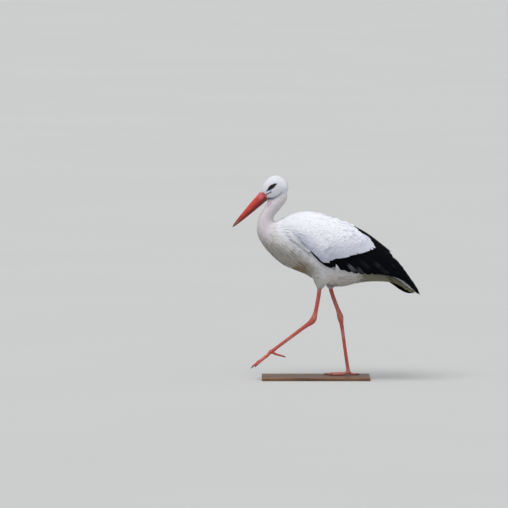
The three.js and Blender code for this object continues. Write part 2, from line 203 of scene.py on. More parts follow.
def unwrap_all(obj):
    edit_mesh(obj)
    bpy.ops.mesh.faces_shade_smooth()
    bpy.ops.uv.smart_project(angle_limit=math.radians(66), island_margin=0.002)
    bpy.ops.object.mode_set(mode="OBJECT")
    obj.data.uv_layers[0].name = "OFBake"


def vertex_places(mesh):
    places = np.empty(len(mesh.vertices) * 3)
    mesh.vertices.foreach_get("co", places)
    return places.reshape(-1, 3)


def vertex_normals(mesh):
    normals = np.empty(len(mesh.vertices) * 3)
    mesh.vertex_normals.foreach_get("vector", normals)
    return normals.reshape(-1, 3)


def write_colours(mesh, name, colours):
    layer = mesh.attributes.new(name, "FLOAT_COLOR", "POINT")
    full = np.ones((len(mesh.vertices), 4))
    full[:, :3] = colours
    layer.data.foreach_set("color", full.ravel())


def scaled(colour, factor):
    return tuple(min(1.0, c * factor) for c in colour)


def spot(x, z, centre_x, centre_z, reach_x, reach_z):
    """1 at a place of the side view, fading softly to 0 around it; all in mm."""
    return np.exp(-(((x - centre_x) / reach_x) ** 2) - ((z - centre_z) / reach_z) ** 2)


# ---------------------------------------------------------------- materials
BARB_PITCH = 0.0009
BARB_SLANT = 0.85
SHAFT_HALF = 0.00045
LEG_SCALES = 300.0  # scales in a metre
IRIS_RADIUS = 0.0062
PUPIL = (0.002, 0.002, 0.002)
IRIS_RIM = (0.004, 0.003, 0.003)
WORN_HORN = (0.66, 0.16, 0.09)
DARK_STREAK = (0.20, 0.022, 0.014)
# darker horn of the bill's lower part, partly painted shade
UNDER_BILL_SHADE = (0.155, 0.016, 0.011)


class Look:
    """A node material in the making: node() adds a node, and links or sets its inputs."""

    def __init__(self, name, **constants):
        self.material = bpy.data.materials.new(name)
        self.material.use_nodes = True
        self.tree = self.material.node_tree
        self.shader = self.tree.nodes["Principled BSDF"]
        for key, value in constants.items():
            self.shader.inputs[key.replace("_", " ")].default_value = value

    def node(self, kind, inputs=(), **settings):
        made = self.tree.nodes.new("ShaderNode" + kind)
        for key, value in settings.items():
            setattr(made, key, value)
        for key, value in dict(inputs).items():
            self.put(made.inputs[key], value)
        return made

    def put(self, socket, value):
        if isinstance(value, bpy.types.NodeSocket):
            self.tree.links.new(value, socket)
        else:
            socket.default_value = value

    def place(self):
        return self.node("TexCoord").outputs["Object"]

    def maths(self, operation, *values):
        return self.node("Math", enumerate(values), operation=operation).outputs[0]

    def ramp(self, factor, *stops):
        made = self.node("ValToRGB", {"Fac": factor})
        elements = made.color_ramp.elements
        while len(elements) < len(stops):
            elements.new(0.5)
        for element, (place, colour) in zip(elements, stops):
            element.position = place
            full = colour if isinstance(colour, (tuple, list)) else (colour,) * 3
            element.color = (*full, 1)
        return made.outputs["Color"]

    def blend(self, factor, first, second, kind="MIX"):
        made = self.node("Mix", data_type="RGBA", blend_type=kind)
        for socket, value in zip((made.inputs[0], made.inputs[6], made.inputs[7]), (factor, first, second)):
            self.put(socket, (*value, 1) if isinstance(value, tuple) and len(value) == 3 else value)
        return made.outputs[2]

    def noise(self, scale, detail=3.0, stretch=(1, 1, 1), turn=(0, 0, 0), roughness=0.5):
        fit = {"Vector": self.place(), "Scale": stretch, "Rotation": turn}
        place = self.node("Mapping", fit, vector_type="TEXTURE").outputs[0]
        settings = {"Vector": place, "Scale": scale, "Detail": detail, "Roughness": roughness}
        return self.node("TexNoise", settings).outputs["Fac"]

    def shaded(self, colour, value):
        """A colour times a grey value."""
        grey = self.node("CombineColor", {0: value, 1: value, 2: value}).outputs[0]
        return self.blend(1.0, colour, grey, "MULTIPLY")

    def dot(self, place, way):
        return self.node("VectorMath", {0: place, 1: way}, operation="DOT_PRODUCT").outputs["Value"]

    def bump(self, height, distance, strength=1.0, under=None):
        made = self.node("Bump", {"Height": height, "Distance": distance, "Strength": strength})
        if under is not None:
            self.put(made.inputs["Normal"], under)
        return made.outputs["Normal"]

    def colour(self, value):
        self.put(self.shader.inputs["Base Color"], value)

    def surface(self, normal):
        self.put(self.shader.inputs["Normal"], normal)


def feather_look(name, barb_depth, shaft, **constants):
    """Vanes of barbs that slant away from the shaft, tinted by each feather's own colour."""
    look = Look(name, **constants)
    tint = look.node("Attribute", attribute_name="Tint").outputs["Color"]
    across, along, _ = look.node("SeparateXYZ", {0: look.node("UVMap", uv_map="Vane").outputs[0]}).outputs
    reach = look.maths("ABSOLUTE", across)
    phase = look.maths("SUBTRACT", along, look.maths("MULTIPLY", reach, BARB_SLANT))
    barbs = look.maths("SINE", look.maths("MULTIPLY", phase, 2 * math.pi / BARB_PITCH))
    height = look.maths("MULTIPLY_ADD", barbs, 0.5, 0.5)
    grain = look.noise(420, detail=2)
    shade = look.maths("MULTIPLY_ADD", height, 0.03, look.maths("MULTIPLY_ADD", grain, 0.10, 0.91))
    on_shaft = look.maths("MULTIPLY", look.maths("LESS_THAN", reach, SHAFT_HALF), 0.6)
    shaft_colour = look.blend(1.0, tint, shaft, "MULTIPLY")
    look.colour(look.blend(on_shaft, look.shaded(tint, shade), shaft_colour))
    look.surface(look.bump(height, barb_depth, 0.6))
    return look.material


def skin_look(bare):
    """Tinted skin: small scales where it is bare, fine pores elsewhere."""
    look = Look(
        "stork_skin", Roughness=0.5, Specular_IOR_Level=0.28, Subsurface_Weight=0.06, Subsurface_Scale=0.002
    )
    tint = look.node("Attribute", attribute_name="Tint").outputs["Color"]
    bareness = look.node("Attribute", attribute_name="Bare").outputs["Fac"]
    place = look.place()
    cells = {"Vector": place, "Scale": LEG_SCALES}
    rims = look.node("TexVoronoi", cells, feature="DISTANCE_TO_EDGE").outputs["Distance"]
    groove = look.ramp(rims, (0.0, 0.0), (0.14, 1.0))
    cell_value = look.node("SeparateColor", {0: look.node("TexVoronoi", cells).outputs["Color"]}).outputs[0]
    lightness = look.maths("MULTIPLY_ADD", cell_value, 0.16, 0.92)
    between = look.maths("SUBTRACT", 1.0, groove)
    dusty = look.maths("MULTIPLY", between, look.maths("MULTIPLY", bareness, 0.45))
    look.colour(look.blend(dusty, look.shaded(tint, lightness), tuple(bare.leg_dust)))
    pores = look.noise(900, detail=4)
    low = look.bump(look.maths("MULTIPLY", groove, bareness), 0.0005, 0.8)
    look.surface(look.bump(pores, 0.0002, 0.5, low))
    return look.material


def bill_look(bare):
    """Smooth horn: rosy at the root, darker below, partly darker horn and partly painted shade, with
    lengthwise streaks and a brownish tip.
    """
    look = Look("bill_horn", Roughness=0.45, Specular_IOR_Level=0.3, Coat_Weight=0.05, Coat_Roughness=0.3)
    place = look.place()
    drop = math.radians(BILL["drop"])
    ahead, above = (-math.cos(drop), 0, -math.sin(drop)), (-math.sin(drop), 0, math.cos(drop))
    root = Vector((BILL["root"][0] * MM, 0, BILL["root"][1] * MM))
    reach, height = (
        look.maths("SUBTRACT", look.dot(place, way), root.dot(way)) for way in (ahead, above)
    )
    reach = look.maths("DIVIDE", reach, BILL["length"] * MM)
    streaks = look.noise(170, detail=5, stretch=(14, 1, 1), turn=(0, -drop, 0), roughness=0.6)
    blotches = look.noise(38, detail=3)
    wander = look.maths("MULTIPLY_ADD", blotches, 0.30, look.maths("MULTIPLY_ADD", reach, 1.0, -0.15))
    red, rose, tip = (tuple(colour) for colour in (bare.bill_red, bare.horn_rose, bare.bill_tip))
    body = look.ramp(wander, (0.06, rose), (0.24, red), (0.5, red), (0.74, scaled(red, 0.62)), (0.92, tip))
    worn = look.blend(look.ramp(streaks, (0.45, 0.0), (0.75, 0.42)), body, WORN_HORN)
    streaked = look.blend(look.ramp(streaks, (0.28, 0.5), (0.46, 0.0)), worn, DARK_STREAK)
    # the lower part darkens: partly darker horn, partly painted shade
    lower = look.maths("MULTIPLY_ADD", blotches, 0.009, look.maths("SUBTRACT", -0.0025, height))
    under = look.ramp(look.maths("MULTIPLY", lower, 60.0), (0.0, 0.0), (0.5, 0.85))
    look.colour(look.blend(under, streaked, UNDER_BILL_SHADE))
    look.surface(look.bump(streaks, 0.0006, 0.5))
    return look.material


def eye_look(bare):
    """A dark brown iris round a black pupil, under a clear wet cornea."""
    look = Look("eye_wet", Roughness=0.08, Specular_IOR_Level=0.25, Coat_Weight=0.25, Coat_Roughness=0.03)
    place = look.place()
    flat = look.node("VectorMath", {0: place, 1: (1, 0, 1)}, operation="MULTIPLY").outputs[0]
    centre = (EYE["x"] * MM, 0, EYE["z"] * MM)
    off = look.node("VectorMath", {0: flat, 1: centre}, operation="DISTANCE").outputs["Value"]
    fibres = look.noise(1500, detail=3)
    ring = look.maths("MULTIPLY_ADD", fibres, 0.0005, off)
    iris = tuple(bare.iris)
    stops = ((0.0, PUPIL), (0.42, PUPIL), (0.5, iris), (0.8, iris), (0.95, IRIS_RIM))
    look.colour(look.ramp(look.maths("DIVIDE", ring, IRIS_RADIUS), *stops))
    look.surface(look.bump(fibres, 0.00002, 0.2))
    return look.material


def claw_look(bare):
    look = Look("claw_horn", Roughness=0.42, Specular_IOR_Level=0.45)
    streaks = look.noise(700, detail=4, stretch=(3, 1, 1))
    look.colour(look.ramp(streaks, (0.3, scaled(bare.claw, 0.6)), (0.7, scaled(bare.claw, 1.7))))
    look.surface(look.bump(streaks, 0.0003, 0.4))
    return look.material


def wood_look(stand):
    """Oiled wood: growth lines along the plate, darker pores, a soft satin."""
    look = Look("stand_wood", Roughness=0.42, Specular_IOR_Level=0.4, Coat_Weight=0.15, Coat_Roughness=0.3)
    place = look.place()
    slow = look.node("Mapping", {"Vector": place, "Scale": (9, 1, 1)}, vector_type="TEXTURE").outputs[0]
    swirl = look.node("TexNoise", {"Vector": slow, "Scale": 9.0, "Detail": 3.0}).outputs["Fac"]
    across = look.node("SeparateXYZ", {0: place}).outputs["Y"]
    rings = look.maths("MULTIPLY_ADD", swirl, 5.0, look.maths("MULTIPLY", across, 62.0))
    wave = look.maths("SINE", look.maths("MULTIPLY", rings, 2 * math.pi))
    lines = look.maths("MULTIPLY_ADD", wave, 0.5, 0.5)
    pores = look.noise(520, detail=3, stretch=(16, 1, 1))
    wood = stand.wood
    base = look.ramp(lines, (0.0, scaled(wood, 0.62)), (0.55, tuple(wood)), (1.0, scaled(wood, 1.25)))
    look.colour(look.blend(look.ramp(pores, (0.56, 0.0), (0.66, 0.6)), base, scaled(wood, 0.3)))
    look.surface(look.bump(look.maths("MULTIPLY_ADD", pores, -0.6, lines), 0.0002, 0.4))
    return look.material


def floor_look(stage):
    look = Look("studio_floor", Roughness=0.8, Specular_IOR_Level=0.2)
    grain = look.noise(0.7, detail=5)
    look.colour(look.ramp(grain, (0.3, scaled(stage.floor, 0.985)), (0.7, scaled(stage.floor, 1.01))))
    return look.material


# ---------------------------------------------------------------- places on the bird, in mm
EYE = {"x": -202, "y": 19.5, "z": 716, "radius": 8.5}
EYE_PATCH = {"front": (-226, 694.5), "rear": (-184.5, 727), "bow": 1.8}
# how far along the patch, and its half width there in mm
EYE_PATCH_HALF = [
    (0, 0.4), (0.14, 2.0), (0.28, 4.4), (0.42, 7.0), (0.6, 7.0), (0.8, 5.6), (0.93, 3.0), (1, 0.4),
]
EYE_PATCH_RING = 8.3
GAPE = [(-224, 685), (-215, 690), (-206, 695)]
JAW = [(-216, 671), (-203, 670), (-193, 674), (-175, 683), (-167, 693)]
THROAT = [(-206, 657), (-217, 641)]
CREASE = [(-182, 609), (-196, 590)]
# the level where the darker cream, partly the feathers' own colour and partly painted shade of the underside,
# takes over from white, back along the body
CREAM_AND_SHADE_LEVEL = [(-260, 595), (-200, 545), (-150, 505), (-50, 435), (50, 405), (240, 385)]
# the level where the painted shade of the underside begins, with some soiling of the down
UNDERSIDE_SHADE_LEVEL = [
    (-260, 566), (-200, 534), (-150, 500), (-100, 456), (-60, 415), (-30, 374), (60, 362), (110, 372),
    (340, 360),
]
# the level where the painted shade of the vent and the tail's underside begins, olive with a painted green
# reflection
REAR_SHADE = [(78, 385), (92, 410), (240, 400), (270, 385), (340, 340)]
# soft spots: centre x, z and reach x, z
# painted light: a lighter patch on the flank where a tuft stands out into the light
FLANK_TUFT_HIGHLIGHT = (69, 400, 15, 13)
# painted shade at the base of the neck and on the front of the back
NECK_BASE_SHADE = (-232, 580, 20, 26)
BACK_FRONT_SHADE = (-120, 605, 55, 40)
BREAST_STAIN = (-140, 434, 30, 26)
# painted light: a lighter, bluer patch of skylight on the belly
BELLY_SKYLIGHT = (-54, 408, 30, 22)
# painted shade: darker feathers scattered on the breast stand for the shadows between its plumes
BREAST_SHADE_STREAKS = (-150, 480, 70, 90)
DEEP_BACK = (-160, 602, 20, 14)
# painted highlight: a bluish glint below the eye
CHEEK_GLINT = (-208, 701, 6.0, 4.0)
# lower edge of the white coverts on the folded wing, from the shoulder back
COVERT_EDGE = [
    (-176, 593), (-150, 566), (-128, 534), (-92, 505), (-60, 484), (-43, 469), (-25, 448), (-6, 435),
    (6, 433), (10, 441), (14, 450), (26, 452), (34, 457), (49, 458), (65, 460), (79, 463), (96, 469),
    (127, 475), (168, 486), (181, 495), (187, 506),
]
# lower edge of the whole folded wing
WING_EDGE = [
    (-176, 593), (-150, 562), (-128, 528), (-92, 500), (-61, 476), (-43, 457), (-25, 438), (-6, 425),
    (12, 413), (25, 412), (34, 415), (74, 410), (105, 402), (139, 393), (191, 388), (238, 389), (285, 379),
    (350, 320),
]
# upper edge of the white on the folded wing, under the black of the innermost feathers
BACK_EDGE = [(60, 640), (98, 590), (108, 570), (130, 546), (150, 529), (170, 512), (187, 499)]
THIGH_AXES = {
    "left": [(-8, -44, 446), (-20, -41, 376), (-26, -38, 340)],
    "right": [(26, 44, 438), (18, 38, 370), (12, 34, 335)],
}
THIGH_ENDS = {"left": 338, "right": 333}

# The outer surface over the folded wings: [upper x, upper z, lower x, lower z, half width].
CLOAK = [
    [-176, 588, -246, 512, 50],
    [-154, 600.5, -229, 486, 63],
    [-128, 611.5, -206, 456, 75],
    [-99, 619, -173, 422, 86],
    [-62, 621, -132, 396, 94],
    [-17, 612, -84, 375, 99],
    [35, 596, -32, 352, 99],
    [90, 575, 27, 338, 95],
    [140, 549, 86, 332, 88],
    [191, 509, 142, 328, 79],
    [238, 472, 197, 322, 70],
    [290, 421, 250, 312, 60],
    [327, 364, 300, 300, 50],
    [349, 330, 335, 296, 38],
    [356, 318, 348, 296, 30],
]
# The lie of the coat in the side view: x, z and the direction in degrees above level, towards the tail.
LIE = [
    (-235, 705, 70), (-205, 750, 15), (-180, 752, -15), (-150, 735, -60), (-143, 705, -88),
    (-147, 675, -100), (-180, 712, -5), (-205, 715, 15), (-205, 685, -20), (-180, 690, -25),
    (-222, 662, -95), (-232, 640, -118), (-160, 648, -128), (-185, 618, -135), (-197, 594, -85),
    (-215, 630, -118), (-245, 612, -112), (-256, 590, -100), (-260, 560, -88), (-255, 532, -72),
    (-240, 505, -58), (-220, 475, -52), (-190, 447, -45), (-150, 420, -32), (-100, 398, -22),
    (-50, 378, -20), (0, 355, -10), (60, 352, 0), (140, 358, 2), (220, 366, 2), (-225, 540, -75),
    (-200, 540, -50), (-180, 500, -45), (-150, 460, -40), (-100, 440, -30), (-50, 420, -25),
    (-175, 592, 30), (-150, 606, 20), (-100, 619, 0), (-50, 617, -10), (0, 605, -16), (60, 575, -28),
    (120, 525, -38), (180, 465, -45), (235, 430, -50), (-190, 565, -20), (-150, 560, -15),
    (-100, 540, -24), (-60, 520, -30), (0, 500, -32), (60, 500, -32), (-30, 470, -40), (50, 400, -10),
    (120, 390, -8), (150, 440, -25), (-78, 490, -38), (-60, 478, -44), (-44, 464, -46), (-28, 448, -45),
    (-12, 437, -40), (2, 428, -30), (252, 356, -30), (272, 345, -30), (300, 335, -28), (240, 390, -27),
    (271, 372, -32), (302, 352, -36),
]


def distance_to_path(x, z, path):
    """Distance of points of the side view from a bent line, and how far along it, 0 to 1."""
    best = np.full(np.shape(x), 1e9)
    share = np.zeros(np.shape(x))
    for k, (start, end) in enumerate(zip(path, path[1:])):
        step = np.subtract(end, start)
        t = np.clip(((x - start[0]) * step[0] + (z - start[1]) * step[1]) / (step @ step), 0, 1)
        gap = np.hypot(x - start[0] - t * step[0], z - start[1] - t * step[1])
        share = np.where(gap < best, (k + t) / (len(path) - 1), share)
        best = np.minimum(best, gap)
    return best, share


def level_of(path, x):
    """Height of a bent line of the side view at x."""
    xs, zs = zip(*path)
    return np.interp(x, xs, zs)


def thigh_end(y):
    """Height at which the feathers of the thigh of that side end."""
    return np.where(y < 0, THIGH_ENDS["left"], THIGH_ENDS["right"])


def eye_patch(x, z):
    """Above 0 inside the bare patch round the eye, in mm from its rim."""
    front, rear = np.array(EYE_PATCH["front"]), np.array(EYE_PATCH["rear"])
    axis = (rear - front) / np.linalg.norm(rear - front)
    along = ((x - front[0]) * axis[0] + (z - front[1]) * axis[1]) / np.linalg.norm(rear - front)
    off = (z - front[1]) * axis[0] - (x - front[0]) * axis[1]
    arch = np.sin(np.pi * np.clip(along, 0, 1))
    half = level_of(EYE_PATCH_HALF, along) - 6 * (np.abs(along - 0.5) > 0.5)
    lens = half - np.abs(off - EYE_PATCH["bow"] * arch)
    return np.maximum(lens, EYE_PATCH_RING - np.hypot(x - EYE["x"], z - EYE["z"]))


def gape_corner(x, z):
    """Above 0 on the bare horn that reaches back from the bill to the corner of the mouth, in mm."""
    drop = math.radians(BILL["drop"])
    ahead = -(x - BILL["root"][0]) * math.cos(drop) - (z - BILL["root"][1]) * math.sin(drop)
    across = -(x - BILL["root"][0]) * math.sin(drop) + (z - BILL["root"][1]) * math.cos(drop)
    return 10 * (1 - ((across - 1) / 17) ** 2) + ahead


def on_head(x, z):
    """1 above the line of the jaw and nape, 0 below it."""
    return smoothstep(z - np.interp(x, [-217, -191, -169, -142], [664, 674, 685, 694]), -3, 3)


def on_neck(x, z):
    """1 on the neck, fading to 0 where it meets the breast."""
    height = (x + 226) * -0.62 + (z - 556) * 0.78
    return smoothstep(height, -22, 22)


def on_thigh(places):
    """1 on a feathered thigh, fading to 0 on the belly."""
    weight = np.zeros(len(places))
    for axis in THIGH_AXES.values():
        axis = np.array(axis)
        order = np.argsort(axis[:, 2])
        x, y = (np.interp(places[:, 2], axis[order, 2], axis[order, k]) for k in (0, 1))
        gap = np.hypot(places[:, 0] - x, places[:, 1] - y)
        weight = np.maximum(weight, smoothstep(-gap, -46, -34) * smoothstep(-places[:, 2], -398, -370))
    return weight


def is_bare_leg(places):
    return places[:, 2] < thigh_end(places[:, 1])


# ---------------------------------------------------------------- colour of skin and coat
def random_patches(places, scale, seed):
    shift = Vector((seed * 7.3, seed * 1.7, seed * 3.1))
    return np.array([noise.noise(Vector(p) * scale + shift) for p in places.tolist()])


STAIN_HALF_KEEL = 20  # the stain is weak this near the keel, in mm
# how much lighter and bluer the painted skylight makes each channel
SKYLIGHT_TINT = (0.08, 0.12, 0.22)


def coat_colour(places, plumage):
    """Colour of the coat at places in mm, the same for the skin and for the feathers on it; it holds painted
    shade below and at the rear, and painted light on the flank and belly.
    """
    x, y, z = places.T
    base_colours = (plumage.upper_white, plumage.belly_cream_and_shade, plumage.neck_cream)
    white, cream, neck = (np.array(c) for c in base_colours)
    # painted shade: the underside turns to the darker cream, partly its own colour
    cream_and_shade = smoothstep(level_of(CREAM_AND_SHADE_LEVEL, x) - z, -38, 42)
    colour = mix(np.tile(white, (len(x), 1)), cream, cream_and_shade)
    throat_side = on_neck(x, z) * (1 - on_head(x, z))
    colour = mix(colour, neck, throat_side * 0.9)
    # painted shade: the underside darkens below this level, partly soiling
    underside_shade = smoothstep(level_of(UNDERSIDE_SHADE_LEVEL, x) - z, -26, 26)
    colour = mix(colour, np.array(plumage.underside_shade_and_soil), 0.75 * underside_shade * (x > -270))
    # painted shade of the vent and under the tail, olive with a painted green reflection
    rear = smoothstep(level_of(REAR_SHADE, x) - z, -14, 8) * smoothstep(x, 66, 112)
    colour = mix(colour, np.array(plumage.tail_under_shade), 0.86 * rear)
    # painted light: the flank is lighter where a tuft stands out into the light
    colour = mix(colour, cream * 1.12, 0.9 * spot(x, z, *FLANK_TUFT_HIGHLIGHT))
    sleeve = on_thigh(places) * smoothstep(-z, -400, -365)
    colour = mix(colour, neck * 0.8, 0.6 * sleeve)
    # painted shade at the base of the neck and on the front of the back
    shade = 0.16 * spot(x, z, *NECK_BASE_SHADE) + 0.10 * spot(x, z, *BACK_FRONT_SHADE)
    colour = colour * (1 - shade)[:, None]
    broken = 0.35 + 0.85 * smoothstep(random_patches(places, 0.045, 7), -0.25, 0.25)
    broken *= 1 - 0.6 * np.exp(-((y / STAIN_HALF_KEEL) ** 2))
    stained = np.minimum(1, 1.6 * spot(x, z, *BREAST_STAIN) * broken)
    colour = mix(colour, np.array(plumage.stain), stained)
    # painted light: the belly is lighter and bluer where skylight falls
    return colour * (1 + spot(x, z, *BELLY_SKYLIGHT)[:, None] * np.array(SKYLIGHT_TINT))


GAPE_DARK = np.array((0.03, 0.03, 0.05))
JAW_SHADOW = np.array((0.10, 0.10, 0.13))
# colour of the painted glint below the eye
CHEEK_GLINT_BLUE = np.array((0.34, 0.44, 0.66))
THROAT_PINK = np.array((0.52, 0.24, 0.42))


def face_colour(colour, x, z):
    """Dark gape line, jaw shadow, a painted bluish glint below the eye and the pink of the throat."""
    gap, _ = distance_to_path(x, z, GAPE)
    colour = mix(colour, GAPE_DARK, 0.95 * smoothstep(-gap, -3.2, -1.4))
    gap, share = distance_to_path(x, z, JAW)
    colour = mix(colour, JAW_SHADOW, 0.95 * smoothstep(-gap, -6.5, -1.5) * (1 - 0.6 * share))
    # painted highlight: a bluish glint below the eye
    colour = mix(colour, CHEEK_GLINT_BLUE, 0.7 * spot(x, z, *CHEEK_GLINT))
    gap, share = distance_to_path(x, z, THROAT)
    return mix(colour, THROAT_PINK, 0.85 * (1 - 0.5 * share) * smoothstep(-gap, -6, -1))


def skin_colour(places, plumage, bare):
    """Colour of the skin at places in mm, and 1 where it is a bare leg."""
    x, _, z = places.T
    colour = face_colour(coat_colour(places, plumage) * 0.82, x, z)
    patch = smoothstep(eye_patch(x, z), -0.6, 0.5) * on_head(x, z)
    colour = mix(colour, np.array(bare.eye_skin), patch)
    horn = smoothstep(gape_corner(x, z), -0.8, 0.6) * (z > 650) * (x < -205)
    colour = mix(colour, np.array(bare.horn_rose), horn)
    legs = is_bare_leg(places).astype(float)
    dust = smoothstep(random_patches(places, 0.022, 3), 0.05, 0.45) * 0.35
    dust = np.maximum(dust, smoothstep(-z, -75, -20) * 0.35)
    red = mix(np.tile(np.array(bare.leg_red), (len(x), 1)), np.array(bare.leg_dust), dust)
    return mix(colour, red, legs), legs


# ---------------------------------------------------------------- guide surfaces
class Guide:
    """A surface to scatter feathers over and to lay them along."""

    def __init__(self, points, triangles, corner_uv):
        self.points = points
        self.triangles = triangles
        self.corner_uv = corner_uv
        self.tree = BVHTree.FromPolygons(points.tolist(), triangles.tolist())

    def nearest(self, places):
        found = [self.tree.find_nearest(p) for p in places.tolist()]
        return np.array([f[0] for f in found]), np.array([f[1] for f in found])

    def unwrap(self, places):
        """Where the surface nearest to places lies in the unwrap."""
        return self.corner_uv[[self.tree.find_nearest(p)[2] for p in places.tolist()]].mean(1)

    def hit(self, starts, direction):
        """Where rays meet the surface; a ray that misses takes the nearest place."""
        found = [self.tree.ray_cast(Vector(p), Vector(direction)) for p in starts.tolist()]
        spare = [self.tree.find_nearest(p) for p in starts.tolist()]
        chosen = [f if f[0] is not None else s for f, s in zip(found, spare)]
        return np.array([f[0] for f in chosen]), np.array([f[1] for f in chosen])


def cloak_guide():
    """The outer surface of the folded wings and back, drawn through its stations."""
    rings, sides = 76, 72
    stations = smooth_curve(CLOAK, rings)
    angle = np.linspace(0, 2 * np.pi, sides + 1)
    power = lambda v: np.sign(v) * np.abs(v) ** (2 / 2.1)
    upper, lower, half = stations[:, 0:2], stations[:, 2:4], stations[:, 4]
    middle, radius = (upper + lower) / 2, (upper - lower) / 2
    level = middle[:, None, :] + radius[:, None, :] * power(np.cos(angle))[None, :, None]
    width = half[:, None] * power(np.sin(angle)) * (1 - 0.02 * np.cos(angle))
    points = np.stack([level[..., 0], -width, level[..., 1]], axis=-1) * MM
    index = np.arange(rings * (sides + 1)).reshape(rings, sides + 1)
    a, b, c, d = index[:-1, :-1], index[:-1, 1:], index[1:, 1:], index[1:, :-1]
    triangles = np.concatenate([np.stack(t, -1).reshape(-1, 3) for t in ((a, c, b), (a, d, c))])
    around = angle / (2 * np.pi) * 0.96 + 0.02
    uv = np.stack(np.meshgrid(np.linspace(0.02, 0.98, rings), around, indexing="ij"), -1)
    points = points.reshape(-1, 3)
    corners = points[triangles]
    normal = np.cross(corners[:, 1] - corners[:, 0], corners[:, 2] - corners[:, 0])
    if ((corners[:, 0] - points.mean(0)) * normal).sum() < 0:
        triangles = triangles[:, ::-1]
    return Guide(points, triangles, uv.reshape(-1, 2)[triangles])


def mesh_guide(mesh):
    mesh.calc_loop_triangles()
    count = len(mesh.loop_triangles)
    triangles, loops = np.empty(count * 3, int), np.empty(count * 3, int)
    mesh.loop_triangles.foreach_get("vertices", triangles)
    mesh.loop_triangles.foreach_get("loops", loops)
    uv = np.empty(len(mesh.loops) * 2)
    mesh.uv_layers["OFBake"].uv.foreach_get("vector", uv)
    return Guide(vertex_places(mesh), triangles.reshape(-1, 3), uv.reshape(-1, 2)[loops].reshape(-1, 3, 2))


def skin_guide():
    return mesh_guide(bpy.data.objects["stork_skin"].data)


def tail_guide():
    """The whole shape of the tail, for its coverts to lie on."""
    form = joined_copy(["tail"], "tail_form")
    unwrap_all(form)
    guide = mesh_guide(form.data)
    bpy.data.objects.remove(form)
    return guide


def lie_of_coat(places, normals):
    """Unit direction, along the surface, in which the coat lies at places in metres."""
    x, _, z = places.T / MM
    guides = np.array(LIE)
    gap = (x[:, None] - guides[:, 0]) ** 2 + (z[:, None] - guides[:, 1]) ** 2
    weight = 1 / (gap + 60) ** 1.6
    angle = np.radians(guides[:, 2])
    direction = np.stack([weight @ np.cos(angle), np.zeros(len(x)), weight @ np.sin(angle)], -1)
    direction = unit(direction)
    thigh = on_thigh(places / MM)
    direction = unit(mix(direction, np.array((-0.04, 0, -1.0)), thigh))
    direction -= normals * (direction * normals).sum(-1, keepdims=True)
    return unit(direction)


def scatter(guide, spacing, keep, seed):
    """Evenly spread places on a guide: positions, normals, unwrap places, in a fixed random order."""
    rng = np.random.default_rng(seed)
    corners = guide.points[guide.triangles]
    cross = np.cross(corners[:, 1] - corners[:, 0], corners[:, 2] - corners[:, 0])
    area = np.linalg.norm(cross, axis=1) / 2
    centres = corners.mean(1) / MM
    weight = area / (spacing(centres) * MM) ** 2 * keep(centres)
    total = int(weight.sum() * 3.4)
    pick = rng.choice(len(area), total, p=weight / weight.sum())
    a, b = rng.random((2, total))
    over = a + b > 1
    a[over], b[over] = 1 - a[over], 1 - b[over]
    share = np.stack([1 - a - b, a, b], -1)
    places = np.einsum("nk,nkd->nd", share, corners[pick])
    uv = np.einsum("nk,nkd->nd", share, guide.corner_uv[pick])
    gaps = spacing(places / MM) * MM
    cell = gaps.max()
    grid, kept = {}, []
    keys = np.floor(places / cell).astype(int).tolist()
    spots, reach = places.tolist(), gaps.tolist()
    near = [(i, j, k) for i in (-1, 0, 1) for j in (-1, 0, 1) for k in (-1, 0, 1)]
    for n, (kx, ky, kz) in enumerate(keys):
        px, py, pz = spots[n]
        limit = reach[n] ** 2
        crowded = False
        for i, j, k in near:
            for qx, qy, qz in grid.get((kx + i, ky + j, kz + k), ()):
                if (px - qx) ** 2 + (py - qy) ** 2 + (pz - qz) ** 2 < limit:
                    crowded = True
                    break
            if crowded:
                break
        if not crowded:
            grid.setdefault((kx, ky, kz), []).append((px, py, pz))
            kept.append(n)
    kept = np.array(kept)
    return places[kept], unit(cross[pick[kept]]), uv[kept]


def lay_along(guide, places, normals, lengths, shares, yaw, backwards=False):
    """Walks along the lie of the coat from each root, or back up it from each tip."""
    rows = len(shares)
    spine, facing = np.empty((len(places), rows, 3)), np.empty((len(places), rows, 3))
    here, up = places, normals
    steps = -np.diff(shares)[::-1] if backwards else np.diff(shares)
    for row in range(rows):
        spine[:, row], facing[:, row] = here, up
        if row == rows - 1:
            break
        ahead = lie_of_coat(here, up)
        ahead = ahead * np.cos(yaw)[:, None] + np.cross(up, ahead) * np.sin(yaw)[:, None]
        here, up = guide.nearest(here + ahead * (steps[row] * lengths)[:, None])
    if backwards:
        spine, facing = spine[:, ::-1], facing[:, ::-1]
    facing[:, 1:-1] = (facing[:, :-2] + 2 * facing[:, 1:-1] + facing[:, 2:]) / 4
    return spine, unit(facing)


# ---------------------------------------------------------------- feathers as solid mesh
# Cross-sections: how far across, how high.
SLIM = [(-1, 0), (0, 1), (1, 0)]
BROAD = [(-1, 0), (-0.5, 0.8), (0, 1), (0.5, 0.8), (1, 0), (0, -0.1)]
STIFF = [
    (-1, -0.3), (-0.5, 0.45), (-0.05, 0.75), (0, 1.15), (0.05, 0.75), (0.5, 0.45), (1, -0.3), (0, -0.2),
]
# Outlines: share of the length from the root, and share of the full width there.
SOFT_TIP = [(0, 0.45), (0.25, 0.88), (0.5, 1.0), (0.74, 0.86), (0.91, 0.5), (1, 0.07)]
ROUND_TIP = [(0, 0.4), (0.3, 0.82), (0.6, 1.0), (0.8, 0.93), (0.92, 0.68), (0.98, 0.36), (1, 0.06)]
LANCE = [(0, 0.55), (0.2, 0.92), (0.42, 1.0), (0.64, 0.84), (0.82, 0.54), (0.94, 0.24), (1, 0.04)]


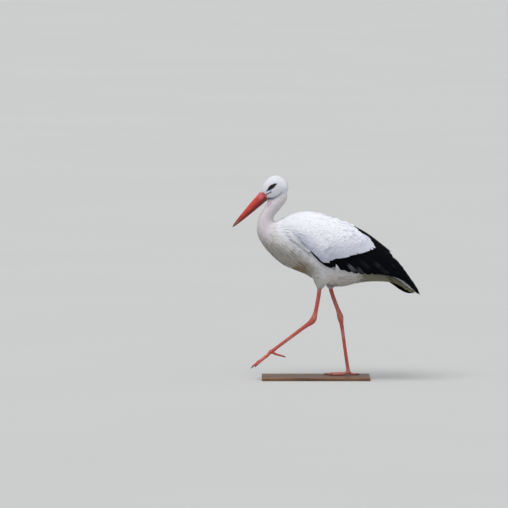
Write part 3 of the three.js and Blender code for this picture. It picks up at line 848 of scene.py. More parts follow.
def feather_faces(rows, columns):
    faces = []
    for here in range(0, (rows - 1) * columns, columns):
        ahead = here + columns
        for col in range(columns):
            nxt = (col + 1) % columns
            faces.append((here + col, here + nxt, ahead + nxt, ahead + col))
    return faces, [tuple(range(columns))[::-1], tuple((rows - 1) * columns + c for c in range(columns))]


def feather_piece(name, spine, facing, half, profile, section, thick, lift, tint, uv):
    """One mesh of many feathers.

    Lengths are in metres: spine and facing (n, rows, 3), half and thick (n), lift (n, rows).
    """
    count, rows, _ = spine.shape
    shares, widths = np.array(profile, float).T
    section = np.array(section, float)
    columns = len(section)
    along = unit(np.gradient(spine, axis=1))
    side = unit(np.cross(along, facing))
    up = np.cross(side, along)
    reach = half[:, None, None] * widths[None, :, None] * section[:, 0]
    fullness = np.minimum(1, widths * 1.2)[None, :, None]
    rise = lift[:, :, None] + thick[:, None, None] * fullness * section[:, 1]
    points = spine[:, :, None] + side[:, :, None] * reach[..., None] + up[:, :, None] * rise[..., None]
    sides, caps = feather_faces(rows, columns)
    shift = (np.arange(count) * rows * columns)[:, None, None]
    quads = (np.array(sides)[None] + shift).reshape(-1, 4)
    ends = (np.array(caps)[None] + shift).reshape(-1, columns)
    flat = points.reshape(-1, 3)
    corners = flat[quads]
    volume = (corners[:, 0] * np.cross(corners[:, 1], corners[:, 2])).sum()
    volume += (corners[:, 0] * np.cross(corners[:, 2], corners[:, 3])).sum()
    if volume < 0:
        quads, ends = quads[:, ::-1], ends[:, ::-1]
    loops = np.concatenate([quads.ravel(), ends.ravel()])
    starts = np.concatenate([np.arange(len(quads)) * 4, len(quads) * 4 + np.arange(len(ends)) * columns])
    mesh = bpy.data.meshes.new(name)
    mesh.vertices.add(len(flat))
    mesh.vertices.foreach_set("co", flat.ravel())
    mesh.loops.add(len(loops))
    mesh.loops.foreach_set("vertex_index", loops.astype(np.int32))
    mesh.polygons.add(len(starts))
    mesh.polygons.foreach_set("loop_start", starts.astype(np.int32))
    mesh.update(calc_edges=True)
    mesh.polygons.foreach_set("use_smooth", np.ones(len(starts), bool))
    mesh.set_sharp_from_angle(angle=math.radians(60))
    write_colours(mesh, "Tint", np.broadcast_to(tint, (count, rows, columns, 3)).reshape(-1, 3))
    share = np.broadcast_to(shares[None, :, None], (count, rows, columns))
    length = np.linalg.norm(np.diff(spine, axis=1), axis=-1).sum(-1)
    vane = np.stack([reach, share * length[:, None, None]], -1)
    if uv is None:  # big feathers have a strip of the map each
        strip = (np.arange(count)[:, None, None] + 0.5 + 0.45 * section[None, None, :, 0]) / count
        baked = np.stack(np.broadcast_arrays(strip, 0.01 + 0.98 * share), -1)
    else:
        patch = np.stack(np.broadcast_arrays(section[None, None, :, 0] * 0.0015, (share - 0.5) * 0.003), -1)
        baked = np.clip(uv[:, None, None, :] + patch, 0.001, 0.999)
    for layer_name, values in (("OFBake", baked), ("Vane", vane)):
        layer = mesh.uv_layers.new(name=layer_name)
        layer.uv.foreach_set("vector", values.reshape(-1, 2)[loops].ravel())
    return new_object(name, mesh)


def beyond_crease(places):
    """0 in the crease between the neck and the back, 1 away from it."""
    gap, _ = distance_to_path(places[:, 0], places[:, 2], CREASE)
    return smoothstep(gap, 5, 38)


def coat_piece(
    name, guide, roots, length, width, profile, section, rise, seed, colour, thick, back=False,
    stray=0.06, sink=None, uneven=0.08, marks=None, overlap_shade=(0.94, 0.94, 0.94), overlap_shade_share=None, clear=None,
):
    """A patch of small feathers over a guide: sizes in mm are functions of the roots' places.

    Each feather gets painted shade where the next ones begin to cover it, towards the given shade
    colour as much as the given share says, 0 to 1. Feathers for which clear is false are left out.
    """
    places, normals, uv = roots
    rng = np.random.default_rng(seed)
    count, rows = len(places), len(profile)
    where = places / MM
    lengths = length(where) * rng.uniform(0.85, 1.12, count) * MM * (0.4 + 0.6 * beyond_crease(where))
    halves = width(where) / 2 * rng.uniform(0.88, 1.12, count) * MM
    t = np.array(profile)[:, 0]
    spine, facing = lay_along(guide, places, normals, lengths, t, rng.normal(0, stray, count), back)
    height = rise(where) * rng.uniform(1 - uneven, 1 + uneven, count) * (0.35 + 0.65 * beyond_crease(where))
    lift = (height[:, None] * t**1.15 - 0.3) * MM
    if sink is not None:
        lift -= sink(where)[:, None] * MM
    # painted shade where the next feathers cover each one
    shaded = (1 - smoothstep(t, 0.62, 0.95)) * (1 if overlap_shade_share is None else overlap_shade_share(where)[:, None])
    shaded = np.broadcast_to(shaded, (count, rows))
    tints = colour(where, rng)[:, None, :] * mix(np.ones(3), np.array(overlap_shade), shaded)
    if marks is not None:
        spots = spine.reshape(-1, 3) / MM
        tints = marks(tints.reshape(-1, 3), spots[:, 0], spots[:, 2]).reshape(count, rows, 3)
    thickness = thick * rng.uniform(0.85, 1.15, count) * MM
    kept = np.ones(count, bool)
    if clear is not None:
        kept = clear(spine[..., 0] / MM, spine[..., 2] / MM, halves / MM)
    obj = feather_piece(
        name, spine[kept], facing[kept], halves[kept], profile, section, thickness[kept], lift[kept],
        tints[kept][:, :, None], uv[kept],
    )
    finish_piece(obj, white_feathers())


def varied(colour, rng, spread):
    return np.clip(colour * (1 + rng.normal(0, spread, (len(colour), 1))), 0, 1)


# ---------------------------------------------------------------- skin
FLESH = ["head", "neck_upper", "neck_lower", "trunk"]
FLESH += [f"{part}_{side}" for part in ("thigh", "shank", "tarsus", "foot") for side in SIDES]


BODY_DEPTH, BACK_DEEPER, NECK_DEPTH, HEAD_DEPTH, BILL_DEPTH, THIGH_DEPTH = 3.6, 3.0, 2.3, 1.3, 0.8, 3.0
SKIN_VOXEL = 2.1  # mm
THINNED = 0.4  # share of the faces left under the coat
OVERLAP = 0.45  # how far each node is grown to meet the next, in mm
MERGE = 0.00002


def coat_depth(places):
    """How far the skin lies inside the outline, in mm."""
    x, y, z = places.T
    depth = BODY_DEPTH + BACK_DEEPER * spot(x, z, *DEEP_BACK)
    neck = on_neck(x, z)
    depth += (NECK_DEPTH - depth) * neck
    depth += (HEAD_DEPTH - depth) * on_head(x, z) * neck
    depth += (BILL_DEPTH - depth) * smoothstep(-np.hypot(x + 222, z - 690), -40, -15) * neck
    depth += (THIGH_DEPTH - depth) * on_thigh(places)
    return depth * smoothstep(z, thigh_end(y) - 4, thigh_end(y) + 18)


def joined_copy(names, name):
    """One object of merged copies of the frame's nodes, each grown a little so that they meet."""
    copies = []
    for node_name in names:
        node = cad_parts[node_name]
        piece = new_object(name, node.data.copy())
        piece.matrix_world = node.matrix_world
        piece.data.materials.clear()
        select_only(piece)
        bpy.ops.object.transform_apply(location=True, rotation=True, scale=True)
        edit_mesh(piece)
        bpy.ops.mesh.remove_doubles(threshold=MERGE)
        bpy.ops.object.mode_set(mode="OBJECT")
        apply_modifier(piece, "DISPLACE", strength=OVERLAP * MM, mid_level=0)
        copies.append(piece)
    select_nothing()
    for piece in copies:
        piece.select_set(True)
    bpy.context.view_layer.objects.active = copies[0]
    bpy.ops.object.join()
    return bpy.context.view_layer.objects.active


def eyelid(side):
    """A ring of bare skin round the eye, thicker above, as rings of points from the rim outwards."""
    steps, rings = 40, 6
    angle = np.linspace(0, 2 * np.pi, steps, endpoint=False)
    profile = [(4.9, 7.2), (4.7, 7.85), (5.15, 8.35), (6.0, 8.1), (7.3, 7.2), (9.5, 4.0)]
    points = []
    for radius, height in profile:
        wrinkle = 0.12 * np.sin(angle * 11) * (radius > 5)
        lid = 1 - 0.10 * np.maximum(0, np.sin(angle)) ** 2 * (radius < 5.5)
        along, above = radius * 1.06 * np.cos(angle), radius * lid * np.sin(angle)
        tilt = math.radians(38)
        x = along * math.cos(tilt) - above * math.sin(tilt)
        z = along * math.sin(tilt) + above * math.cos(tilt)
        points.append(np.stack([EYE["x"] + x, side * (EYE["y"] + height + wrinkle), EYE["z"] + z], -1))
    points = np.concatenate(points) * MM
    faces = []
    for ring in range(rings - 1):
        for k in range(steps):
            nxt = (k + 1) % steps
            here, ahead = ring * steps, (ring + 1) * steps
            face = (here + k, here + nxt, ahead + nxt, ahead + k)
            faces.append(face if side > 0 else face[::-1])
    mesh = bpy.data.meshes.new("eyelid")
    mesh.from_pydata(points.tolist(), [], faces)
    mesh.update()
    return new_object("eyelid", mesh)


def build_skin(plumage, bare):
    skin = joined_copy(FLESH, "stork_skin")
    eyes = joined_copy(["eye_left", "eye_right"], "eye_fill")
    select_only(skin)
    eyes.select_set(True)
    bpy.ops.object.join()
    skin.name = skin.data.name = "stork_skin"
    skin.data.remesh_voxel_size = SKIN_VOXEL * MM
    bpy.ops.object.voxel_remesh()
    body = skin.vertex_groups.new(name="body")
    places = vertex_places(skin.data) / MM
    weight = 1 - is_bare_leg(places)
    for level in (0, 1):
        chosen = np.nonzero(weight == level)[0].tolist()
        body.add(chosen, float(level), "REPLACE")
    apply_modifier(skin, "SMOOTH", factor=0.5, iterations=3)
    apply_modifier(skin, "SMOOTH", factor=0.5, iterations=14, vertex_group="body")
    places = vertex_places(skin.data)
    places -= vertex_normals(skin.data) * (coat_depth(places / MM) * MM)[:, None]
    skin.data.vertices.foreach_set("co", places.ravel())
    apply_modifier(skin, "SMOOTH", factor=0.5, iterations=4, vertex_group="body")
    coated = skin.vertex_groups.new(name="coated")
    places = vertex_places(skin.data) / MM
    deep = ~is_bare_leg(places) & (on_head(places[:, 0], places[:, 2]) < 0.5)
    coated.add(np.nonzero(deep)[0].tolist(), 1.0, "REPLACE")
    apply_modifier(skin, "DECIMATE", ratio=THINNED, vertex_group="coated")
    skin.vertex_groups.clear()

    edit_mesh(skin, "DESELECT")
    mesh = bmesh.from_edit_mesh(skin.data)
    for face in mesh.faces:
        centre = face.calc_center_median()
        limit = THIGH_ENDS["left"] if centre.y < 0 else THIGH_ENDS["right"]
        face.select = centre.z < limit * MM
    bmesh.update_edit_mesh(skin.data)
    bpy.ops.mesh.subdivide(number_cuts=1, smoothness=0.2)
    bpy.ops.object.mode_set(mode="OBJECT")
    places = vertex_places(skin.data)
    legs = np.nonzero(is_bare_leg(places / MM))[0]
    normals = vertex_normals(skin.data)
    for k in legs.tolist():
        near, _ = noise.voronoi(Vector(places[k]) * LEG_SCALES, distance_metric="DISTANCE")
        groove = min(1.0, (near[1] - near[0]) / 0.30)
        places[k] += normals[k] * (0.42 * groove - 0.25) * MM
    skin.data.vertices.foreach_set("co", places.ravel())

    lids = [eyelid(side) for side in SIDES.values()]
    select_only(skin)
    for lid in lids:
        lid.select_set(True)
    bpy.ops.object.join()
    unwrap_all(skin)
    places = vertex_places(skin.data) / MM
    colour, legs = skin_colour(places, plumage, bare)
    ring = np.hypot(places[:, 0] - EYE["x"], places[:, 2] - EYE["z"])
    lid_skin = smoothstep(-ring, -9.2, -7.6) * (np.abs(places[:, 1]) > 15)
    colour = mix(colour, np.array(bare.eye_skin), lid_skin)
    write_colours(skin.data, "Tint", colour)
    bareness = skin.data.attributes.new("Bare", "FLOAT", "POINT")
    bareness.data.foreach_set("value", legs)
    finish_piece(skin, skin_look(bare), FLESH)


# ---------------------------------------------------------------- coat of small feathers
def white_feathers():
    found = bpy.data.materials.get("feather_white")
    return found or feather_look(
        "feather_white", 0.00015, (0.86, 0.85, 0.84), Roughness=0.8, Sheen_Weight=0.15, Sheen_Roughness=0.5,
        Specular_IOR_Level=0.2,
    )


def black_feathers():
    found = bpy.data.materials.get("feather_black")
    return found or feather_look(
        "feather_black", 0.0003, (1.0, 0.9, 0.9), Roughness=0.55, Specular_IOR_Level=0.04,
    )


BILL_FEATHERS, EYE_FEATHERS = (-226, 684), (-204, 714)  # where the smallest feathers sit
LID_REACH = 7.2  # bare ring of the lids, in mm


def face_fade(x, z):
    """Small near the bill and the eye, 1 far from them."""
    near_bill = np.hypot(x - BILL_FEATHERS[0], z - BILL_FEATHERS[1])
    near_eye = np.hypot(x - EYE_FEATHERS[0], z - EYE_FEATHERS[1])
    return np.minimum(smoothstep(near_bill, 16, 70), smoothstep(near_eye, 4, 40))


def build_head_coat(scene):
    guide, plumage = skin_guide(), scene.stork_plumage

    def keep(p):
        x, y, z = p.T
        outside = (eye_patch(x, z) < 0) | (np.abs(y) < 12)
        lids = np.hypot(x - EYE["x"], z - EYE["z"]) < LID_REACH
        lids &= np.abs(y) > 12
        return (on_head(x, z) > 0.25) & outside & ~lids & (gape_corner(x, z) < 0) & (z > 640)

    spacing = lambda p: (1.7 + 0.9 * face_fade(p[:, 0], p[:, 2])) / plumage.density
    places, normals, uv = scatter(guide, spacing, keep, 11)
    size = lambda p: 5.0 + 11.0 * face_fade(p[:, 0], p[:, 2])
    ends = places / MM + lie_of_coat(places, normals) * size(places / MM)[:, None]
    clear = (eye_patch(ends[:, 0], ends[:, 2]) < 0.5) & (gape_corner(ends[:, 0], ends[:, 2]) < 1)
    roots = tuple(a[clear] for a in (places, normals, uv))

    def rise(p):
        x, _, z = p.T
        gap, share = distance_to_path(x, z, JAW)
        cheek = smoothstep(-gap, -16, -7) * (1 - 0.6 * share)
        return 0.5 + 0.5 * face_fade(x, z) + 2.0 * cheek

    colour = lambda p, rng: varied(coat_colour(p, plumage), rng, 0.015)
    width = lambda p: 2.4 + 1.6 * face_fade(p[:, 0], p[:, 2])
    coat_piece(
        "coat_head", guide, roots, size, width, LANCE, SLIM, rise, 12, colour, 0.16,
        marks=face_colour,
    )


def build_neck_coat(scene):
    guide, plumage = skin_guide(), scene.stork_plumage

    def keep(p):
        x, _, z = p.T
        return (on_head(x, z) < 0.6) & (on_neck(x, z) > 0.12) & (z > 480)

    colour = lambda p, rng: varied(coat_colour(p, plumage), rng, 0.02)
    upper = lambda p: smoothstep(p[:, 2], 590, 690)
    spacing = lambda p: (3.9 - 1.2 * upper(p)) / plumage.density
    roots = scatter(guide, spacing, keep, 21)
    length = lambda p: 40 - 20 * upper(p)
    width = lambda p: 7.5 - 3.3 * upper(p)
    rise = lambda p: 2.0 - 0.8 * upper(p)
    coat_piece(
        "coat_neck", guide, roots, length, width, LANCE, SLIM, rise, 22, colour, 0.22,
        marks=face_colour,
    )


def under_wing(x, z):
    """True where the folded wing covers the trunk."""
    return (x > -168) & (z > level_of(WING_EDGE, x) + 9)


def below_wing(x, z, half):
    """True for feathers that keep off the black at the front of the wing's lower edge."""
    return ~((x > -61) & (x < 36) & (z > level_of(WING_EDGE, x) + 0.4 * half[:, None] - 3)).any(1)


def body_colour(plumage):
    def colour(p, rng):
        x, _, z = p.T
        base = coat_colour(p, plumage)
        # painted shade: some breast feathers are darker, for the shadows between the plumes
        shade_streaks = 0.18 * spot(x, z, *BREAST_SHADE_STREAKS)
        grey = (rng.random(len(p)) < shade_streaks)[:, None] * 0.22
        return varied(base * (1 - grey), rng, 0.025)

    return colour


def build_body_coat(scene):
    guide, plumage = skin_guide(), scene.stork_plumage
    colour = body_colour(plumage)
    breast_share = lambda p: smoothstep(-p[:, 0], 40, 120)

    def body(p):
        x, _, z = p.T
        return (on_neck(x, z) < 0.9) & ~under_wing(x, z) & ~is_bare_leg(p) & (z > 300)

    spacing = lambda p: (6.2 - 0.8 * breast_share(p)) / plumage.density
    length = lambda p: 40 + 18 * breast_share(p) * (1 - on_neck(p[:, 0], p[:, 2]))
    width = lambda p: 15 - 4.0 * breast_share(p)
    hanging = lambda p: np.exp(-(((p[:, 0] - 45) / 42) ** 2)) * smoothstep(-p[:, 2], -392, -372)
    rise = lambda p: 2.8 + 0.4 * breast_share(p) + 4 * hanging(p)
    parts = (
        ("coat_breast", lambda p: body(p) & (p[:, 0] < -70), LANCE, 31),
        ("coat_belly", lambda p: body(p) & (p[:, 0] >= -80) & (on_thigh(p) < 0.5), ROUND_TIP, 33),
    )
    for name, keep, profile, seed in parts:
        coat_piece(
            name, guide, scatter(guide, spacing, keep, seed), length, width, profile,
            SLIM, rise, seed + 1, colour, 0.28, stray=0.09, clear=below_wing,
        )

    thighs = lambda p: (on_thigh(p) > 0.3) & (p[:, 2] > thigh_end(p[:, 1]) + 15)
    roots = scatter(guide, lambda p: np.full(len(p), 4.2 / plumage.density), thighs, 35)
    low = lambda p: smoothstep(-p[:, 2], -390, -345)
    coat_piece(
        "coat_thighs", guide, roots, lambda p: 34 - 16 * low(p),
        lambda p: 8 - 3 * low(p), LANCE, SLIM, lambda p: 2.6 - 1.2 * low(p), 36, colour, 0.22, stray=0.08,
    )


# ---------------------------------------------------------------- folded wings
def wing_places(points, side, guide, depth):
    """Puts points of the side view, in mm, on the cloak of one side, sunk by depth mm."""
    starts = np.stack([points[:, 0], np.full(len(points), side * 300.0), points[:, 1]], -1) * MM
    places, normals = guide.hit(starts, (0, -side, 0))
    places[:, 0], places[:, 2] = starts[:, 0], starts[:, 2]
    return places - normals * depth * MM, normals


def back_places(points, side, guide, depth):
    """Puts points of the top view, in mm from the middle, on the cloak of one side."""
    starts = np.stack([points[:, 0], side * points[:, 1], np.full(len(points), 800.0)], -1) * MM
    places, normals = guide.hit(starts, (0, 0, -1))
    return places - normals * depth * MM, normals


# painted shade, bluish grey, where each covert is covered by the next
COVERT_OVERLAP_SHADE = (0.80, 0.806, 0.845)
# painted shade towards the wing's lower edge: its share along the wing, and its tint
EDGE_SHADE_SHARE = [(-120, 0.12), (-60, 0.37), (10, 0.45), (80, 0.32), (187, 0.23)]
EDGE_SHADE_TINT = (1.0, 0.95, 0.78)


def above_edge(p):
    """How high places lie over the lower edge of the white coverts, in mm."""
    return p[:, 2] - level_of(COVERT_EDGE, p[:, 0])


def covert_colour(plumage):
    """Painted shade: the wing darkens a little towards its lower edge, most at the front, and is bluer there.
    """

    def colour(p, rng):
        # painted shade near the lower edge
        grey = level_of(EDGE_SHADE_SHARE, p[:, 0]) * (1 - smoothstep(above_edge(p), 0, 82))
        shade = 1 - grey[:, None] * np.array(EDGE_SHADE_TINT)
        return varied(coat_colour(p, plumage) * shade, rng, 0.02)

    return colour


def covert_overlap_shade_share(p):
    """The painted shade of the coverts' scallops fades out on the back and at the front of the wing."""
    return smoothstep(p[:, 0], -150, -100) * (1 - 0.65 * smoothstep(p[:, 2], 535, 585))


def edge_run(x):
    """1 where the front coverts run along the edge, 0 where they point across it."""
    return 1 - smoothstep(x, -14, 8)


def above_streak(x, z, half):
    """True for feathers that keep off the black streak at the front of the wing's lower edge."""
    slope = (level_of(COVERT_EDGE, x + 3) - level_of(COVERT_EDGE, x - 3)) / 6
    gap = (z - level_of(COVERT_EDGE, x)) / np.sqrt(1 + slope**2)
    return ((gap > 0.85 * half[:, None] - 1.5) | (x < -62) | (x > 6)).all(1)


def wing_coverts(scene, side_name, guide):
    side, plumage = SIDES[side_name], scene.stork_plumage

    def covert_tips(p):
        x, y, z = p.T
        own = y * side > -2
        white = z > level_of(COVERT_EDGE, x) + 5 + 10 * edge_run(x)
        below_black = z < level_of(BACK_EDGE, x) - 8
        return own & white & below_black & (x > -172) & (x < 182)

    greater = lambda p: smoothstep(70 - above_edge(p), 0, 60)
    rear = lambda p: smoothstep(p[:, 0], -140, 40)
    spacing = lambda p: (6.4 + 4.6 * rear(p)) / plumage.density
    tips = scatter(guide, spacing, covert_tips, 41 + side)
    length = lambda p: 32 + 20 * rear(p) + 12 * greater(p) * rear(p)
    near_edge = lambda p: 1 - smoothstep(above_edge(p), 14, 44)
    width = lambda p: (16 + 12 * rear(p)) * (1 - 0.4 * edge_run(p[:, 0]) * near_edge(p))
    rise = lambda p: 1.5 + 0.7 * rear(p)
    sink = lambda p: proud(p[:, 0]) * (1 - smoothstep(above_edge(p), 4, 48))
    coat_piece(
        f"coat_wing_{side_name}", guide, tips, length, width, ROUND_TIP, BROAD, rise,
        43 + side, covert_colour(plumage), 0.3, back=True, stray=0.05, sink=sink, uneven=0.05,
        overlap_shade=COVERT_OVERLAP_SHADE, overlap_shade_share=covert_overlap_shade_share, clear=above_streak,
    )


SHOULDER_EDGE = [(-154, 558), (-146, 547), (-128, 524), (-96, 499), (-72, 484)]


def proud(x):
    """How far the front of the cloak stands out over the trunk, in mm."""
    return np.interp(x, [-154, -128, -99, -72, -60], [0, 3, 7, 8, 0])


def outer_places(rows, side, skin, cloak):
    """Puts rows of points of the side view, in mm, on the skin or the folded wing, whichever is outside."""
    spots, shape = rows.reshape(-1, 2), (*rows.shape[:-1], 3)
    best, facing = np.zeros((len(spots), 3)), np.tile((0.0, float(side), 0.0), (len(spots), 1))
    best[:, [0, 2]] = spots * MM
    on_wing = spots[:, 1] > level_of(WING_EDGE, spots[:, 0])
    for k, (x, z) in enumerate(spots.tolist()):
        start = Vector((x * MM, side * 0.3, z * MM))
        for guide, sink in ((skin, 0.0), (cloak, proud(x) * MM)):
            if guide is cloak and not on_wing[k]:
                continue
            place, normal = guide.tree.ray_cast(start, Vector((0, -side, 0)))[:2]
            if place is not None and abs(place.y) - sink > abs(best[k, 1]):
                best[k, 1] = place.y - side * sink
                facing[k] = normal
    return best.reshape(shape), facing.reshape(shape)


def shoulder_plumes(scene, side_name, cloak):
    """Soft plumes of the breast that lie over the front edge of the folded wing."""
    side, plumage, skin = SIDES[side_name], scene.stork_plumage, skin_guide()
    rng = np.random.default_rng(51 + side)
    count = 520
    t, rows = np.array(LANCE)[:, 0], len(LANCE)
    edge = along_curve(SHOULDER_EDGE, rng.random(count))
    back = rng.triangular(-1.3, 0.0, 2.3, count)
    roots = edge + np.stack([-22 - 18 * back, 9 + 6 * back], -1)
    angle = np.radians(rng.normal(-28, 9, count))
    length = rng.uniform(28, 58, count)
    ahead = np.stack([np.cos(angle), np.sin(angle)], -1)
    length = np.minimum(length, (rng.uniform(-64, -60, count) - roots[:, 0]) / np.cos(angle))
    spots = roots[:, None] + ahead[:, None] * (length[:, None] * t)[..., None]
    spine, facing = outer_places(spots, side, skin, cloak)
    reach = side * spine[..., 1]
    for _ in range(3):
        reach[:, 1:-1] = np.maximum(reach[:, 1:-1], (reach[:, :-2] + reach[:, 2:]) / 2)
        facing[:, 1:-1] = unit(facing[:, :-2] + facing[:, 1:-1] + facing[:, 2:])
    spine[..., 1] = side * reach
    lift = (-0.8 + 2.4 * t[None, :] + rng.uniform(0, 0.6, (count, 1))) * MM
    places = spine.reshape(-1, 3) / MM
    colours = coat_colour(places, plumage).reshape(count, rows, 3)
    # painted shade: the plumes darken towards the wing's front edge, like the wing's own painted shade there
    plume_shade = 0.21 * smoothstep(places[:, 0], -160, -95) + 0.05
    colours *= (1 - plume_shade).reshape(count, rows, 1) * rng.normal(1, 0.035, (count, 1, 1))
    obj = feather_piece(
        f"coat_shoulder_{side_name}", spine, facing, rng.uniform(4.5, 6.0, count) * MM, LANCE, SLIM,
        np.full(count, 0.28 * MM), lift, colours[:, :, None, :], skin.unwrap(spine[:, 0]),
    )
    finish_piece(obj, white_feathers())


def side_tuft(scene, side_name, cloak):
    """Downy plumes of the flank that stand up over the lower edge of the folded wing."""
    side, plumage, skin = SIDES[side_name], scene.stork_plumage, skin_guide()
    rng = np.random.default_rng(57 + side)
    count, t = 60, np.array(SOFT_TIP)[:, 0]
    start = np.stack([rng.uniform(31, 48, count), rng.uniform(392, 404, count)], -1)
    end = start + (np.array((34.0, 434.0)) - start) * rng.uniform(0.6, 1.0, (count, 1))
    bend = np.stack([2 * np.sin(np.pi * t), 0 * t], -1)
    spots = start[:, None] + (end - start)[:, None] * t[None, :, None] + bend[None]
    spine, facing = outer_places(spots, side, skin, cloak)
    reach = np.maximum.accumulate(side * spine[..., 1], axis=1)
    spine[..., 1] = side * reach
    lift = (1.2 + 1.6 * t[None, :] + rng.uniform(0, 0.8, (count, 1))) * MM
    colours = varied(np.tile(np.array(plumage.upper_white) * 0.78, (count, 1)), rng, 0.03)
    obj = feather_piece(
        f"coat_side_{side_name}", spine, facing, rng.uniform(2.2, 3.2, count) * MM, SOFT_TIP, SLIM,
        np.full(count, 0.22 * MM), lift, colours[:, None, None, :], skin.unwrap(spine[:, 0]),
    )
    finish_piece(obj, white_feathers())


def edge_coverts(scene, side_name, guide):
    """The longest white coverts, whose round tips scallop the edge of the black."""
    side, plumage = SIDES[side_name], scene.stork_plumage
    rng = np.random.default_rng(61 + side)
    edge = smooth_curve([p for p in COVERT_EDGE if p[0] > -60], 400)
    run = np.concatenate([[0], np.cumsum(np.hypot(*np.diff(edge, axis=0).T))])
    tips, widths = [], []
    for layer, (back, pitch, width) in enumerate(((0.0, 9.5, 14.0), (8.0, 11.5, 20.0), (17.0, 12.0, 24.0))):
        stops = np.arange(5 + 5 * layer, run[-1], pitch)
        stops += rng.normal(0, 1.2, len(stops))
        x, z = np.interp(stops, run, edge[:, 0]), np.interp(stops, run, edge[:, 1])
        wide = width * np.interp(x, [-60, 10, 60], [0.58, 0.8, 1.0])
        up = z + back * 0.85 - 2.5 + (3.5 + 0.62 * wide) * edge_run(x)
        tips.append(np.stack([x - back * 0.5, up], -1))
        widths.append(wide)
    tips, widths = np.concatenate(tips), np.concatenate(widths)
    kept = tips[:, 1] < level_of(BACK_EDGE, tips[:, 0]) - 9
    tips, widths = tips[kept], widths[kept]
    places, normals = wing_places(tips, side, guide, 0.0)
    uv = guide.unwrap(places)
    size = lambda p: np.interp(p[:, 0], [-60, 10, 60], [34, 48, 62])
    coat_piece(
        f"coat_wing_edge_{side_name}", guide, (places, normals, uv), size,
        lambda p: widths, ROUND_TIP, BROAD, lambda p: np.full(len(p), 2.2), 63 + side,
        covert_colour(plumage), 0.35, back=True, uneven=0.05, overlap_shade=COVERT_OVERLAP_SHADE, overlap_shade_share=covert_overlap_shade_share,
        clear=above_streak,
    )


# Flight feathers by the side view: root, points it passes, tip.
PRIMARIES = [
    [(40, 432), (139, 405), (234, 403), (270, 398), (293, 381), (316, 359), (342, 321)],
    [(40, 436), (139, 409), (238, 407), (280, 405), (304, 392), (326, 364), (349, 317)],
    [(42, 441), (141, 415), (238, 409), (288, 395), (320, 364), (345, 334)],
    [(44, 448), (143, 424), (236, 417), (284, 399), (312, 374), (330, 354)],
    [(48, 457), (145, 436), (232, 428), (276, 410), (300, 391), (316, 375)],
    [(54, 469), (148, 450), (226, 441), (266, 424), (286, 408), (301, 396)],
    [(60, 481), (150, 463), (218, 453), (254, 438), (273, 426), (287, 415)],
    [(66, 493), (152, 477), (210, 467), (238, 456), (256, 445), (272, 434)],
]
RIGHT_PRIMARIES = [  # this wing is shut a little more and hangs lower at the tip
    [(40, 428), (139, 397), (212, 387), (240, 366), (263, 342), (290, 321), (312, 311)],
    [(40, 432), (139, 402), (220, 392), (250, 371), (276, 346), (300, 325), (322, 313)],
    [(42, 438), (141, 410), (228, 403), (262, 383), (290, 356), (312, 334)],
    [(44, 446), (143, 420), (232, 414), (266, 396), (292, 372), (307, 351)],
    [(48, 456), (145, 433), (230, 427), (260, 411), (282, 391), (297, 372)],
    [(54, 468), (148, 447), (224, 440), (252, 427), (270, 411), (285, 394)],
    [(60, 480), (150, 461), (216, 452), (244, 439), (260, 428), (273, 413)],
    [(66, 492), (152, 475), (208, 465), (234, 453), (248, 444), (261, 432)],
]
SECONDARY_TIPS = [
    (44, 421), (66, 411), (90, 403), (114, 397), (138, 394), (162, 393), (186, 393), (210, 393), (230, 395),
    (247, 401), (253, 415), (255, 429), (252, 443), (246, 455),
]
SECONDARY_ROOTS = ((-50, 468), (100, 545))
LEADING = [
    [(-66, 491), (-54, 481), (-41, 468), (-22, 447), (-2, 432), (22, 420)],
    [(-58, 501), (-45, 488), (-30, 470), (-10, 449), (12, 435), (42, 424)],
]
TERTIALS = [  # top view: x and distance from the middle, root to tip
    [(72, 8), (140, 9), (200, 8), (238, 7)],
    [(72, 20), (140, 21), (196, 19), (234, 17)],
    [(72, 33), (138, 33), (190, 30), (226, 27)],
    [(74, 45), (136, 45), (184, 42), (216, 38)],
    [(76, 57), (130, 57), (176, 54), (205, 49)],
]
# silvery grey of the outer webs, partly painted highlights where their gloss catches the light, and how
# strong it is
SILVER_AND_GLOSS_STREAKS = [
    ([(84, 427), (110, 408)], 0.70), ([(112, 413), (153, 392)], 0.24), ([(182, 436), (198, 423)], 0.10),
    ([(208, 417), (234, 396)], 0.08), ([(127, 436), (149, 419)], 0.08),
]
FLIGHT_TIP = [
    (0, 0.35), (0.1, 0.65), (0.24, 0.88), (0.4, 0.97), (0.55, 1.0), (0.68, 1.0), (0.78, 0.98), (0.86, 0.92),
    (0.92, 0.8), (0.96, 0.62), (0.985, 0.4), (1, 0.1),
]


